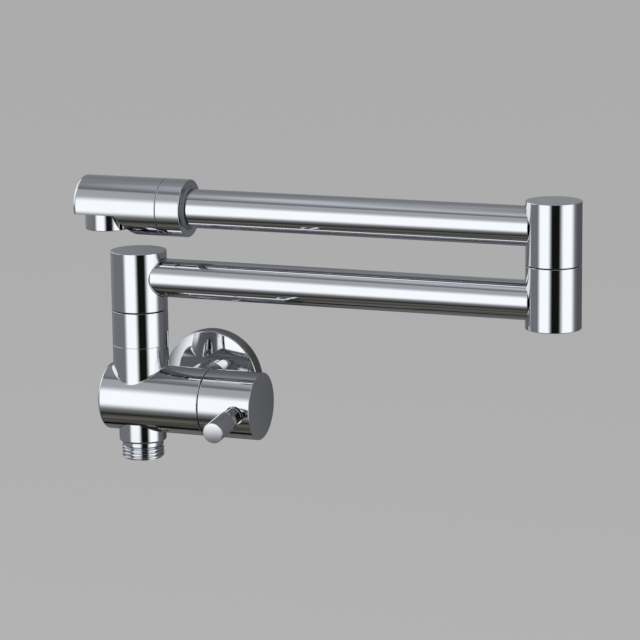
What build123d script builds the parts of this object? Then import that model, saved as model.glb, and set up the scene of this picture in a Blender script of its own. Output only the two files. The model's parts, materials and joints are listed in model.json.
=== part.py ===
"""Wall mounted pot filler with two folding arms, a quarter-turn lever and a second threaded outlet.

Millimetres. The origin is the centre of the wall flange's back face. +Y goes into the wall, -Y comes
towards the user, +Z is up and +X runs along the folded lower arm, from the shoulder to the knuckle.
"""

import os
from math import cos, radians, sin, sqrt, tan

from build123d import *

os.makedirs("parts", exist_ok=True)

# ---------------------------------------------------------------- driving dimensions

# Fits. Turning pieces run with a little play. Screwed, brazed and splined joints are drawn as plain
# cylinders that almost touch.
running_clearance = 0.05
joint_clearance = 0.03
edge_break = 0.4

# A bore that meets a crossing bore from one side reaches this much past its wall.
bore_margin = 0.3

# Where the axes lie
wall_distance = 52.0
inlet_offset = 18.0
arm_length = 213.0

# Wall connection, with a G1/2 thread of 20.955 mm
thread_diameter = 20.955
thread_chamfer = 0.6
nipple_reach = 14.0
nipple_bore = 10.0
nipple_stub_diameter = 13.2
nipple_stub_length = 9.0
hexagon_across_flats = 24.0
hexagon_thickness = 5.4
inlet_washer_thickness = 1.0
neck_diameter = 18.0
flange_diameter = 52.0
flange_depth = 9.8
flange_edge_radius = 2.4
flange_dome_radius = 110.0
flange_wall = 1.3
flange_hub_wall = 3.45
flange_hub_length = 3.7

# Valve body
body_diameter = 33.4
body_end_margin = 2.8
body_end_radius = 1.2
riser_wall = 2.9
riser_stub = 10.8
riser_floor_wall = 3.0
spigot_end_gap = 1.95
cartridge_reach = 22.8
barrel_wall = 5.7
waterway_diameter = 12.0
port_diameter = 4.8
port_spacing = 7.2

# Lower outlet
outlet_collar_diameter = 23.6
outlet_collar_drop = 5.0
outlet_collar_chamfer = 1.2
outlet_seat_wall = 0.8
outlet_thread_length = 8.7
outlet_bore = 14.0
outlet_plug_diameter = 16.0
outlet_plug_bore = 10.0
outlet_plug_margin = 0.5
outlet_seal_thickness = 1.2

# Cartridge
foot_thickness = 1.6
disc_thickness = 2.2
driver_length = 4.0
driver_width = 9.0
window_width = 9.0
cartridge_wall = 2.0
cartridge_nut_length = 6.7
snout_diameter = 14.0
snout_proud = 1.2
stem_diameter = 9.0
stem_groove_depth = 0.8
stem_groove_width = 1.6
spline_diameter = 8.0

# Handle
handle_gap = 0.4
handle_length = 27.2
hub_cavity_depth = 6.4
hub_skirt_wall = 4.2
hub_spline_depth = 7.0
hub_edge_break = 0.2
lever_inset = 7.8
lever_droop = 5.6
lever_reach = 43.2
lever_diameter = 10.2
lever_length = 18.5
lever_neck_diameter = 8.2
lever_socket_depth = 8.7
lever_recess_depth = 0.5
lever_recess_width = 0.5
grub_diameter = 5.0
grub_length = 8.0
grub_key_width = 2.5

# Swivels of the shoulder and the knuckle
spigot_diameter = 16.0
spigot_bore = 11.0
ring_groove_depth = 1.2
ring_groove_width = 2.0
clip_thickness = 1.0
clip_width = 1.4
clip_clearance = 0.8
bush_wall = 3.0
shoulder_ring_height = 17.3
shoulder_washer_thickness = 0.5
shoulder_socket_depth = 6.7
shoulder_cap = 3.6
knuckle_wall = 2.3
knuckle_floor = 3.2
knuckle_bush_height = 7.6
knuckle_washer_thickness = 0.35
knuckle_socket_depth = 7.95
knuckle_cap = 3.1

# Arms
arm_diameter = 19.0
arm_wall = 1.2

# Spout
spout_overhang = 28.8
spout_seam = 15.4
spout_end_radius = 2.0
spout_flat_depth = 3.5
spout_flat_length = 22.05
spout_cut_angle = 51.5
spout_seam_gap = 0.2
collar_length = 12.5
collar_thread_length = 6.4
collar_wall = 1.85
head_wall = 1.9
guide_wall = 0.9
guide_proud = 1.1
nose_diameter = 14.0
nose_length = 8.0
nose_bore = 8.4
end_flange_overlap = 0.75
end_flange_thickness = 3.4
tube_insert_length = 9.0
gallery_diameter = 11.0
gallery_length = 3.4
gallery_floor = 1.0
passage_diameter = 6.4

# Aerator
aerator_inset = 12.35
aerator_diameter = 22.0
aerator_drop = 8.5
aerator_relief = 0.3
aerator_gap = 0.2
aerator_thread_diameter = 18.4
aerator_thread_length = 6.0
aerator_bore = 15.8
aerator_lip = 0.7
aerator_lip_height = 1.0
chamber_diameter = 13.0
cell_across_flats = 1.9
cell_web = 0.45
cell_margin = 0.7
screen_thickness = 0.6
screen_rim = 1.2
screen_bar = 0.8
screen_pitch = 2.4
seal_thickness = 1.4
seal_bore = 14.0

# ---------------------------------------------------------------- radii, heights and planes

body_radius = body_diameter / 2
arm_radius = arm_diameter / 2
spigot_radius = spigot_diameter / 2
spigot_bore_radius = spigot_bore / 2
spigot_groove_radius = spigot_radius - ring_groove_depth
spigot_run_radius = spigot_radius + running_clearance
clip_radius = spigot_radius + clip_width
bush_radius = spigot_radius + bush_wall
riser_radius = bush_radius + riser_wall
knuckle_radius = bush_radius + knuckle_wall
guide_inner_radius = arm_radius + running_clearance
guide_outer_radius = guide_inner_radius + guide_wall
collar_thread_radius = guide_outer_radius + collar_wall
spout_radius = collar_thread_radius + head_wall
waterway_radius = waterway_diameter / 2
bay_radius = body_radius - barrel_wall
port_radius = port_diameter / 2
port_height = port_spacing / 2

riser_x = -inlet_offset
knuckle_x = riser_x + arm_length
riser_top = body_radius + riser_stub
ring_top = riser_top + shoulder_ring_height
shoulder_bottom = ring_top + shoulder_washer_thickness
lower_arm_z = shoulder_bottom + shoulder_socket_depth + arm_radius
shoulder_top = lower_arm_z + arm_radius + shoulder_cap
knuckle_bottom = lower_arm_z - arm_radius - knuckle_floor
knuckle_bush_bottom = lower_arm_z + arm_radius + edge_break
knuckle_seam = knuckle_bush_bottom + knuckle_bush_height
knuckle_upper_bottom = knuckle_seam + knuckle_washer_thickness
upper_arm_z = knuckle_upper_bottom + knuckle_socket_depth + arm_radius
knuckle_top = upper_arm_z + arm_radius + knuckle_cap

# Heights on the riser and on the knuckle count from the valve body's axis. Places along the body,
# the cartridge, the arms and the spout count from the riser's axis, and along the inlet from the wall.
riser_plane = Plane(origin=(riser_x, -wall_distance, 0))
knuckle_plane = Plane(origin=(knuckle_x, -wall_distance, 0))
body_plane = Plane(origin=(riser_x, -wall_distance, 0), x_dir=(0, 1, 0), z_dir=(1, 0, 0))
lower_arm_plane = Plane(origin=(riser_x, -wall_distance, lower_arm_z), x_dir=(0, 1, 0), z_dir=(1, 0, 0))
upper_arm_plane = Plane(origin=(riser_x, -wall_distance, upper_arm_z), x_dir=(0, 1, 0), z_dir=(1, 0, 0))
inlet_plane = Plane(origin=(0, 0, 0), x_dir=(1, 0, 0), z_dir=(0, 1, 0))


def turned_ring(plane, low, high, outer, inner):
    """A plain ring, bush or tube around the plane's axis."""
    with BuildPart() as ring:
        with BuildSketch(plane.offset(low)):
            Circle(outer)
            Circle(inner, mode=Mode.SUBTRACT)
        extrude(amount=high - low)
    return ring.part


def grooved_pin(plane, low, high, outer, bore, grooves):
    """A hollow pin with grooves around it, each given as (low end, width, radius at its bottom)."""
    with BuildPart() as pin:
        with BuildSketch(plane.offset(low)):
            Circle(outer)
            Circle(bore, mode=Mode.SUBTRACT)
        extrude(amount=high - low)
        for groove_low, width, bottom in grooves:
            with BuildSketch(plane.offset(groove_low)):
                Circle(outer)
                Circle(bottom, mode=Mode.SUBTRACT)
            extrude(amount=width, mode=Mode.SUBTRACT)
    return pin.part


def rubber_rings(plane, lows, width, inner, outer):
    """The rubber rings of one pin, squeezed square round their inner radius, as one group."""
    with BuildPart() as rings:
        for low in lows:
            with BuildSketch(plane.offset(low)):
                Circle(outer)
                Circle(inner + joint_clearance, mode=Mode.SUBTRACT)
            extrude(amount=width)
    return rings.part


def open_clip(plane, low, inner, outer):
    """A flat retaining clip in its groove: a ring with a gap as wide as the groove's radius."""
    with BuildPart() as clip:
        with BuildSketch(plane.offset(low)):
            Circle(outer)
            Circle(inner + joint_clearance, mode=Mode.SUBTRACT)
            with Locations((-outer, 0)):
                Rectangle(2 * outer, inner, mode=Mode.SUBTRACT)
        extrude(amount=clip_thickness)
    return clip.part


def keep(part, name):
    """Names a finished piece and writes it."""
    part.label = name
    export_step(part, "parts/" + name + ".step")


# ---------------------------------------------------------------- wall connection

neck_radius = neck_diameter / 2
neck_end = -hexagon_thickness - inlet_washer_thickness
stub_radius = nipple_stub_diameter / 2
nipple_front = -hexagon_thickness - nipple_stub_length
flange_radius = flange_diameter / 2
flange_bore_radius = neck_radius + running_clearance
flange_hub_radius = flange_bore_radius + flange_hub_wall
flange_groove_radius = flange_bore_radius + ring_groove_depth
flange_hub_back = -flange_depth + flange_hub_length
flange_groove_low = -flange_depth + (flange_hub_length - ring_groove_width) / 2


def dome_depth(radius):
    """Where the flange's dome lies at a radius, counted from its deepest circle round the neck."""
    fall = sqrt(flange_dome_radius**2 - flange_bore_radius**2) - sqrt(flange_dome_radius**2 - radius**2)
    return -flange_depth + fall


# A turned cover: straight rim, rounded shoulder, shallow dome, and a thicker middle that is bored
# for the neck and grooved for the ring that grips it. The profile is radius over depth.
with BuildPart() as wall_flange:
    with BuildSketch(Plane.YZ) as flange_profile:
        with BuildLine():
            rim = Line((0, flange_radius), (dome_depth(flange_radius), flange_radius))
            crown = (-flange_depth, flange_bore_radius)
            RadiusArc(rim @ 1, crown, -flange_dome_radius)
            Polyline(
                crown,
                (flange_hub_back, flange_bore_radius),
                (flange_hub_back, flange_hub_radius),
                (dome_depth(flange_hub_radius) + flange_wall, flange_hub_radius),
                (dome_depth(flange_radius) + flange_wall, flange_radius - flange_wall),
                (0, flange_radius - flange_wall),
                (0, flange_radius),
            )
        make_face()
        shoulder_corner = flange_profile.vertices().group_by(Axis.Y)[-1].sort_by(Axis.X)[0]
        fillet(shoulder_corner, flange_edge_radius)
    revolve(axis=Axis.Y)
    with BuildSketch(inlet_plane.offset(flange_groove_low)):
        Circle(flange_groove_radius)
    extrude(amount=ring_groove_width, mode=Mode.SUBTRACT)
keep(wall_flange.part, "wall_flange")

flange_ring = rubber_rings(
    inlet_plane, [flange_groove_low], ring_groove_width, neck_radius, flange_groove_radius
)
keep(flange_ring, "flange_ring")

# The nipple screws into the neck and clamps a washer between the neck and its hexagon.
with BuildPart() as inlet_nipple:
    with BuildSketch(inlet_plane.offset(nipple_front)):
        Circle(stub_radius)
    extrude(amount=nipple_stub_length)
    with BuildSketch(inlet_plane.offset(-hexagon_thickness)):
        RegularPolygon(hexagon_across_flats / 2, 6, major_radius=False)
    extrude(amount=hexagon_thickness)
    with BuildSketch(inlet_plane):
        Circle(thread_diameter / 2)
    extrude(amount=nipple_reach)
    chamfer(inlet_nipple.edges().group_by(Axis.Y)[-1], thread_chamfer)
    with BuildSketch(inlet_plane.offset(nipple_front)):
        Circle(nipple_bore / 2)
    extrude(amount=nipple_reach - nipple_front, mode=Mode.SUBTRACT)
keep(inlet_nipple.part, "inlet_nipple")

inlet_washer = turned_ring(
    inlet_plane, neck_end, -hexagon_thickness, neck_radius, stub_radius + joint_clearance
)
keep(inlet_washer, "inlet_washer")

# ---------------------------------------------------------------- valve body

body_left = -riser_radius - body_end_margin
body_right = riser_radius + cartridge_reach
seat = inlet_offset - driver_length / 2 - 2 * disc_thickness - foot_thickness
web_half = port_height - port_radius
riser_floor = bay_radius + riser_floor_wall
outlet_seat = -bay_radius - outlet_seat_wall
outlet_top = -port_height - port_radius - outlet_plug_margin

with BuildPart() as valve_body:
    # The horizontal barrel, with its closed end rounded
    with BuildSketch(body_plane.offset(body_left)):
        Circle(body_radius)
    extrude(amount=body_right - body_left)
    fillet(valve_body.edges().group_by(Axis.X)[0], body_end_radius)
    # The riser and the neck that grow out of it
    with BuildSketch(riser_plane):
        Circle(riser_radius)
    extrude(amount=riser_top)
    with BuildSketch(inlet_plane.offset(-wall_distance)):
        Circle(neck_radius)
    extrude(amount=wall_distance + neck_end)
    # Bay for the cartridge, open to the right, and two ports that lead from its seat to the riser's axis
    with BuildSketch(body_plane.offset(seat)):
        Circle(bay_radius)
    extrude(amount=body_right - seat, mode=Mode.SUBTRACT)
    with BuildSketch(body_plane):
        with Locations((0, port_height), (0, -port_height)):
            Circle(port_radius)
    extrude(amount=seat, mode=Mode.SUBTRACT)
    # The riser's waterway over the upper port and, above it, the threaded bore for the shoulder ring
    with BuildSketch(riser_plane.offset(web_half)):
        Circle(waterway_radius)
    extrude(amount=riser_top - web_half, mode=Mode.SUBTRACT)
    with BuildSketch(riser_plane.offset(riser_floor)):
        Circle(bush_radius + joint_clearance)
    extrude(amount=riser_top - riser_floor, mode=Mode.SUBTRACT)
    # The lower outlet: a flat seat across the barrel, a bore for the plug and a waterway to the lower port
    with BuildSketch(riser_plane.offset(-body_radius)):
        Circle(outlet_collar_diameter / 2 + joint_clearance)
    extrude(amount=outlet_seat + body_radius, mode=Mode.SUBTRACT)
    with BuildSketch(riser_plane.offset(outlet_seat)):
        Circle(outlet_plug_diameter / 2 + joint_clearance)
    extrude(amount=outlet_top - outlet_seat, mode=Mode.SUBTRACT)
    with BuildSketch(riser_plane.offset(outlet_seat)):
        Circle(waterway_radius)
    extrude(amount=-web_half - outlet_seat, mode=Mode.SUBTRACT)
    # The inlet's waterway into the bay, and the bore for the nipple
    with BuildSketch(inlet_plane.offset(-wall_distance)):
        Circle(nipple_bore / 2)
    extrude(amount=wall_distance + nipple_front, mode=Mode.SUBTRACT)
    with BuildSketch(inlet_plane.offset(nipple_front)):
        Circle(stub_radius + joint_clearance)
    extrude(amount=neck_end - nipple_front, mode=Mode.SUBTRACT)
keep(valve_body.part, "valve_body")

# ---------------------------------------------------------------- lower outlet

outlet_shoulder = -body_radius - outlet_collar_drop
outlet_end = outlet_shoulder - outlet_thread_length

with BuildPart() as outlet_spigot:
    with BuildSketch(riser_plane.offset(outlet_shoulder)):
        Circle(outlet_collar_diameter / 2)
    extrude(amount=outlet_seat - outlet_shoulder)
    chamfer(outlet_spigot.edges().group_by(Axis.Z)[0], outlet_collar_chamfer)
    with BuildSketch(riser_plane.offset(outlet_seat)):
        Circle(outlet_plug_diameter / 2)
    extrude(amount=outlet_top - outlet_seal_thickness - outlet_seat)
    with BuildSketch(riser_plane.offset(outlet_end)):
        Circle(thread_diameter / 2)
    extrude(amount=outlet_thread_length)
    chamfer(outlet_spigot.edges().group_by(Axis.Z)[0], thread_chamfer)
    with BuildSketch(riser_plane.offset(outlet_end)):
        Circle(outlet_bore / 2)
    extrude(amount=outlet_thread_length + outlet_collar_drop, mode=Mode.SUBTRACT)
    with BuildSketch(riser_plane.offset(outlet_end)):
        Circle(outlet_plug_bore / 2)
    extrude(amount=outlet_top - outlet_end, mode=Mode.SUBTRACT)
keep(outlet_spigot.part, "outlet_spigot")

outlet_seal = turned_ring(
    riser_plane,
    outlet_top - outlet_seal_thickness,
    outlet_top,
    outlet_plug_diameter / 2,
    outlet_plug_bore / 2,
)
keep(outlet_seal, "outlet_seal")

# ---------------------------------------------------------------- cartridge

shell_radius = bay_radius - joint_clearance
shell_bore_radius = shell_radius - cartridge_wall
fixed_disc_radius = shell_bore_radius - joint_clearance
moving_disc_radius = shell_bore_radius - running_clearance
stem_radius = stem_diameter / 2
stem_groove_radius = stem_radius - stem_groove_depth
snout_radius = snout_diameter / 2
spline_radius = spline_diameter / 2
fixed_disc_low = seat + foot_thickness
moving_disc_low = fixed_disc_low + disc_thickness
driver_low = moving_disc_low + disc_thickness
driver_high = driver_low + driver_length
shell_shoulder = body_right - cartridge_nut_length
snout_end = body_right + snout_proud
spindle_clip_low = snout_end + running_clearance
hub_low = body_right + handle_gap
spline_low = hub_low + hub_cavity_depth
spline_high = spline_low + hub_spline_depth
stem_ring_lows = [driver_high + stem_groove_width, driver_high + 4 * stem_groove_width]


def ported_plate(low, thickness):
    """A round plate in the cartridge, with the same two ports as the seat."""
    with BuildPart() as plate:
        with BuildSketch(body_plane.offset(low)):
            Circle(fixed_disc_radius)
            with Locations((0, port_height), (0, -port_height)):
                Circle(port_radius, mode=Mode.SUBTRACT)
        extrude(amount=thickness)
    return plate.part


keep(ported_plate(seat, foot_thickness), "cartridge_foot")
keep(ported_plate(fixed_disc_low, disc_thickness), "fixed_disc")

# The moving disc covers both ports at rest. Its window points the way the lever does, and a quarter
# turn up or down brings it over the upper or the lower port.
with BuildPart() as moving_disc:
    with BuildSketch(body_plane.offset(moving_disc_low)):
        Circle(moving_disc_radius)
        with Locations((-port_height, 0)):
            Circle(port_radius, mode=Mode.SUBTRACT)
    extrude(amount=disc_thickness)
keep(moving_disc.part, "moving_disc")

# A sleeve round the discs and the driver, then a snout that guides the spindle's stem
with BuildPart() as cartridge_shell:
    with BuildSketch(body_plane.offset(seat)):
        Circle(shell_radius)
    extrude(amount=shell_shoulder - seat)
    with BuildSketch(body_plane.offset(shell_shoulder)):
        Circle(snout_radius)
    extrude(amount=snout_end - shell_shoulder)
    with BuildSketch(body_plane.offset(seat)):
        Circle(shell_bore_radius)
    extrude(amount=driver_high + running_clearance - seat, mode=Mode.SUBTRACT)
    with BuildSketch(body_plane.offset(seat)):
        Circle(stem_radius + running_clearance)
    extrude(amount=snout_end - seat, mode=Mode.SUBTRACT)
    # Two side windows let the water in, as long as the driver that turns between them
    with BuildSketch(body_plane.offset(driver_low)):
        Rectangle(2 * bay_radius, window_width)
    extrude(amount=driver_length, mode=Mode.SUBTRACT)
keep(cartridge_shell.part, "cartridge_shell")

cartridge_nut = turned_ring(
    body_plane, shell_shoulder, body_right, shell_radius, snout_radius + joint_clearance
)
keep(cartridge_nut, "cartridge_nut")

# The driver is a bar across the moving disc, beside its window, so that water reaches the window.
with BuildPart() as cartridge_spindle:
    with BuildSketch(body_plane.offset(driver_low)):
        Rectangle(driver_width, 2 * moving_disc_radius)
        with Locations((port_height - port_spacing, 0)):
            Circle(port_radius, mode=Mode.SUBTRACT)
        Circle(moving_disc_radius, mode=Mode.INTERSECT)
    extrude(amount=driver_length)
    with BuildSketch(body_plane.offset(driver_high)):
        Circle(stem_radius)
    extrude(amount=spindle_clip_low + 2 * clip_thickness - driver_high)
    with BuildSketch(body_plane.offset(snout_end)):
        Circle(spline_radius)
    extrude(amount=spline_high - edge_break - snout_end)
    chamfer(cartridge_spindle.edges().group_by(Axis.X)[-1], edge_break)
    grooves = [(low, stem_groove_width) for low in stem_ring_lows] + [(spindle_clip_low, clip_thickness)]
    for low, width in grooves:
        with BuildSketch(body_plane.offset(low)):
            Circle(stem_radius)
            Circle(stem_groove_radius, mode=Mode.SUBTRACT)
        extrude(amount=width, mode=Mode.SUBTRACT)
keep(cartridge_spindle.part, "cartridge_spindle")

spindle_rings = rubber_rings(
    body_plane, stem_ring_lows, stem_groove_width, stem_groove_radius, stem_radius + running_clearance / 2
)
keep(spindle_rings, "spindle_rings")
keep(open_clip(body_plane, spindle_clip_low, stem_groove_radius, stem_radius + clip_width), "spindle_clip")

# ---------------------------------------------------------------- handle

hub_high = hub_low + handle_length
lever_way = (0, -cos(radians(lever_droop)), -sin(radians(lever_droop)))
screw_way = (0, cos(radians(lever_droop)), sin(radians(lever_droop)))
lever_x = riser_x + hub_high - lever_inset
screw_x = riser_x + (spline_low + spline_high) / 2
lever_plane = Plane(origin=(lever_x, -wall_distance, 0), x_dir=(1, 0, 0), z_dir=lever_way)
screw_plane = Plane(origin=(screw_x, -wall_distance, 0), x_dir=(1, 0, 0), z_dir=screw_way)
lever_back = lever_reach - lever_length
socket_floor = body_radius - lever_socket_depth
screw_low = spline_radius + joint_clearance

with BuildPart() as handle_hub:
    with BuildSketch(body_plane.offset(hub_low)):
        Circle(body_radius)
    extrude(amount=handle_length)
    chamfer(handle_hub.edges().group_by(Axis.X)[-1], hub_edge_break)
    with BuildSketch(body_plane.offset(hub_low)):
        Circle(body_radius - hub_skirt_wall)
    extrude(amount=hub_cavity_depth, mode=Mode.SUBTRACT)
    with BuildSketch(body_plane.offset(spline_low)):
        Circle(spline_radius + joint_clearance)
    extrude(amount=hub_spline_depth, mode=Mode.SUBTRACT)
    # Socket for the lever, with a shallow wider mouth, and the screw's hole opposite to it
    with BuildSketch(lever_plane.offset(socket_floor)):
        Circle(lever_neck_diameter / 2 + joint_clearance)
    extrude(amount=body_radius, mode=Mode.SUBTRACT)
    with BuildSketch(lever_plane.offset(body_radius - lever_recess_depth)):
        Circle(lever_neck_diameter / 2 + lever_recess_width)
    extrude(amount=body_radius, mode=Mode.SUBTRACT)
    with BuildSketch(screw_plane):
        Circle(grub_diameter / 2 + joint_clearance)
    extrude(amount=2 * body_radius, mode=Mode.SUBTRACT)
keep(handle_hub.part, "handle_hub")

with BuildPart() as handle_lever:
    with BuildSketch(lever_plane.offset(lever_back)):
        Circle(lever_diameter / 2)
    extrude(amount=lever_length)
    chamfer(handle_lever.edges().filter_by(GeomType.CIRCLE), edge_break)
    with BuildSketch(lever_plane.offset(socket_floor)):
        Circle(lever_neck_diameter / 2)
    extrude(amount=lever_back - socket_floor)
keep(handle_lever.part, "handle_lever")

# The grub screw presses on the spindle, on the side away from the lever, and takes a hexagonal key.
with BuildPart() as handle_screw:
    with BuildSketch(screw_plane.offset(screw_low)):
        Circle(grub_diameter / 2)
    extrude(amount=grub_length)
    with BuildSketch(screw_plane.offset(screw_low + grub_length / 2)):
        RegularPolygon(grub_key_width / 2, 6, major_radius=False)
    extrude(amount=grub_length / 2, mode=Mode.SUBTRACT)
keep(handle_screw.part, "handle_screw")

# ---------------------------------------------------------------- shoulder swivel

shoulder_spigot_low = riser_floor + spigot_end_gap
shoulder_clip_low = shoulder_spigot_low + clip_thickness
shoulder_thread_low = shoulder_clip_low + clip_thickness + running_clearance
shoulder_spigot_top = shoulder_bottom + shoulder_socket_depth + edge_break
shoulder_ring_lows = [riser_top + ring_groove_width, ring_top - 3 * ring_groove_width]

with BuildPart() as shoulder_ring:
    with BuildSketch(riser_plane.offset(riser_top)):
        Circle(riser_radius)
    extrude(amount=shoulder_ring_height)
    chamfer(shoulder_ring.edges().filter_by(GeomType.CIRCLE), edge_break / 2)
    with BuildSketch(riser_plane.offset(shoulder_thread_low)):
        Circle(bush_radius)
    extrude(amount=riser_top - shoulder_thread_low)
    with BuildSketch(riser_plane.offset(shoulder_thread_low)):
        Circle(spigot_run_radius)
    extrude(amount=ring_top - shoulder_thread_low, mode=Mode.SUBTRACT)
keep(shoulder_ring.part, "shoulder_ring")

# The spigot is brazed into the head above the ring and held by a clip below it.
shoulder_spigot = grooved_pin(
    riser_plane,
    shoulder_spigot_low,
    shoulder_spigot_top,
    spigot_radius,
    spigot_bore_radius,
    [
        (shoulder_ring_lows[0], ring_groove_width, spigot_groove_radius),
        (shoulder_ring_lows[1], ring_groove_width, spigot_groove_radius),
        (shoulder_clip_low, clip_thickness, spigot_groove_radius),
    ],
)
keep(shoulder_spigot, "shoulder_spigot")

swivel_ring_radius = spigot_radius + running_clearance / 2
shoulder_rings = rubber_rings(
    riser_plane, shoulder_ring_lows, ring_groove_width, spigot_groove_radius, swivel_ring_radius
)
keep(shoulder_rings, "shoulder_rings")
keep(open_clip(riser_plane, shoulder_clip_low, spigot_groove_radius, clip_radius), "shoulder_clip")

shoulder_washer = turned_ring(
    riser_plane, ring_top, shoulder_bottom, bush_radius, spigot_run_radius
)
keep(shoulder_washer, "shoulder_washer")

# ---------------------------------------------------------------- lower arm

arm_bore_radius = arm_radius - arm_wall
arm_socket_radius = arm_radius + joint_clearance
chamber_radius = clip_radius + clip_clearance
tube_end = chamber_radius - bore_margin
arm_right = arm_length - tube_end

with BuildPart() as shoulder_head:
    with BuildSketch(riser_plane.offset(shoulder_bottom)):
        Circle(riser_radius)
    extrude(amount=shoulder_top - shoulder_bottom)
    chamfer(shoulder_head.edges().filter_by(GeomType.CIRCLE), edge_break)
    with BuildSketch(riser_plane.offset(shoulder_bottom)):
        Circle(spigot_radius + joint_clearance)
    extrude(amount=lower_arm_z + spigot_bore_radius + bore_margin - shoulder_bottom, mode=Mode.SUBTRACT)
    # Socket for the tube, and a way through that is as wide as the spigot's bore
    with BuildSketch(lower_arm_plane.offset(tube_end)):
        Circle(arm_socket_radius)
    extrude(amount=riser_radius, mode=Mode.SUBTRACT)
    with BuildSketch(lower_arm_plane):
        Circle(spigot_bore_radius)
    extrude(amount=riser_radius, mode=Mode.SUBTRACT)
keep(shoulder_head.part, "shoulder_head")

lower_arm_tube = turned_ring(lower_arm_plane, tube_end, arm_right, arm_radius, arm_bore_radius)
keep(lower_arm_tube, "lower_arm_tube")

# ---------------------------------------------------------------- knuckle

chamber_low = lower_arm_z - spigot_bore_radius - bore_margin
knuckle_clip_low = knuckle_bush_bottom - running_clearance - clip_thickness
knuckle_spigot_top = knuckle_upper_bottom + knuckle_socket_depth + edge_break
knuckle_ring_step = (knuckle_bush_height - 2 * ring_groove_width) / 3
knuckle_ring_lows = [
    knuckle_bush_bottom + knuckle_ring_step,
    knuckle_seam - knuckle_ring_step - ring_groove_width,
]

with BuildPart() as knuckle_lower:
    with BuildSketch(knuckle_plane.offset(knuckle_bottom)):
        Circle(knuckle_radius)
    extrude(amount=knuckle_seam - knuckle_bottom)
    chamfer(knuckle_lower.edges().filter_by(GeomType.CIRCLE), edge_break)
    # The threaded bore for the bush, and below it a chamber that the tube opens into
    with BuildSketch(knuckle_plane.offset(knuckle_bush_bottom)):
        Circle(bush_radius + joint_clearance)
    extrude(amount=knuckle_bush_height, mode=Mode.SUBTRACT)
    with BuildSketch(knuckle_plane.offset(chamber_low)):
        Circle(chamber_radius)
    extrude(amount=knuckle_bush_bottom - chamber_low, mode=Mode.SUBTRACT)
    with BuildSketch(lower_arm_plane.offset(arm_length - 2 * knuckle_radius)):
        Circle(arm_socket_radius)
    extrude(amount=2 * knuckle_radius - tube_end, mode=Mode.SUBTRACT)
    with BuildSketch(lower_arm_plane.offset(arm_right)):
        Circle(spigot_bore_radius)
    extrude(amount=tube_end, mode=Mode.SUBTRACT)
keep(knuckle_lower.part, "knuckle_lower")

knuckle_bush = turned_ring(
    knuckle_plane, knuckle_bush_bottom, knuckle_seam, bush_radius, spigot_run_radius
)
keep(knuckle_bush, "knuckle_bush")

knuckle_spigot = grooved_pin(
    knuckle_plane,
    knuckle_clip_low - clip_thickness,
    knuckle_spigot_top,
    spigot_radius,
    spigot_bore_radius,
    [
        (knuckle_ring_lows[0], ring_groove_width, spigot_groove_radius),
        (knuckle_ring_lows[1], ring_groove_width, spigot_groove_radius),
        (knuckle_clip_low, clip_thickness, spigot_groove_radius),
    ],
)
keep(knuckle_spigot, "knuckle_spigot")

knuckle_rings = rubber_rings(
    knuckle_plane, knuckle_ring_lows, ring_groove_width, spigot_groove_radius, swivel_ring_radius
)
keep(knuckle_rings, "knuckle_rings")
keep(open_clip(knuckle_plane, knuckle_clip_low, spigot_groove_radius, clip_radius), "knuckle_clip")

knuckle_washer = turned_ring(
    knuckle_plane, knuckle_seam, knuckle_upper_bottom, bush_radius, spigot_run_radius
)
keep(knuckle_washer, "knuckle_washer")

with BuildPart() as knuckle_upper:
    with BuildSketch(knuckle_plane.offset(knuckle_upper_bottom)):
        Circle(knuckle_radius)
    extrude(amount=knuckle_top - knuckle_upper_bottom)
    chamfer(knuckle_upper.edges().filter_by(GeomType.CIRCLE), edge_break)
    with BuildSketch(knuckle_plane.offset(knuckle_upper_bottom)):
        Circle(spigot_radius + joint_clearance)
    extrude(amount=upper_arm_z + spigot_bore_radius + bore_margin - knuckle_upper_bottom, mode=Mode.SUBTRACT)
    with BuildSketch(upper_arm_plane.offset(arm_length - 2 * knuckle_radius)):
        Circle(arm_socket_radius)
    extrude(amount=2 * knuckle_radius - tube_end, mode=Mode.SUBTRACT)
    with BuildSketch(upper_arm_plane.offset(arm_right)):
        Circle(spigot_bore_radius)
    extrude(amount=tube_end, mode=Mode.SUBTRACT)
keep(knuckle_upper.part, "knuckle_upper")

# ---------------------------------------------------------------- upper arm

collar_thread_end = spout_seam - collar_thread_length
end_flange_high = collar_thread_end - running_clearance
end_flange_low = end_flange_high - end_flange_thickness
nose_radius = nose_diameter / 2
nose_groove_radius = nose_radius - ring_groove_depth
nose_low = end_flange_low - nose_length
nose_ring_step = (nose_length - 2 * ring_groove_width) / 3
nose_ring_lows = [nose_low + nose_ring_step, end_flange_low - nose_ring_step - ring_groove_width]

upper_arm_tube = turned_ring(upper_arm_plane, end_flange_high, arm_right, arm_radius, arm_bore_radius)
keep(upper_arm_tube, "upper_arm_tube")

# The upper arm's end piece: a nose that turns in the spout head, a flange that the spout's collar
# traps, and an insert brazed into the tube
with BuildPart() as spout_spigot:
    with BuildSketch(upper_arm_plane.offset(nose_low)):
        Circle(nose_radius)
    extrude(amount=nose_length)
    for low in nose_ring_lows:
        with BuildSketch(upper_arm_plane.offset(low)):
            Circle(nose_radius)
            Circle(nose_groove_radius, mode=Mode.SUBTRACT)
        extrude(amount=ring_groove_width, mode=Mode.SUBTRACT)
    with BuildSketch(upper_arm_plane.offset(end_flange_low)):
        Circle(guide_outer_radius + end_flange_overlap)
    extrude(amount=end_flange_thickness)
    with BuildSketch(upper_arm_plane.offset(end_flange_high)):
        Circle(arm_bore_radius - joint_clearance)
    extrude(amount=tube_insert_length)
    with BuildSketch(upper_arm_plane.offset(nose_low)):
        Circle(nose_bore / 2)
    extrude(amount=end_flange_high + tube_insert_length - nose_low, mode=Mode.SUBTRACT)
keep(spout_spigot.part, "spout_spigot")

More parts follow.
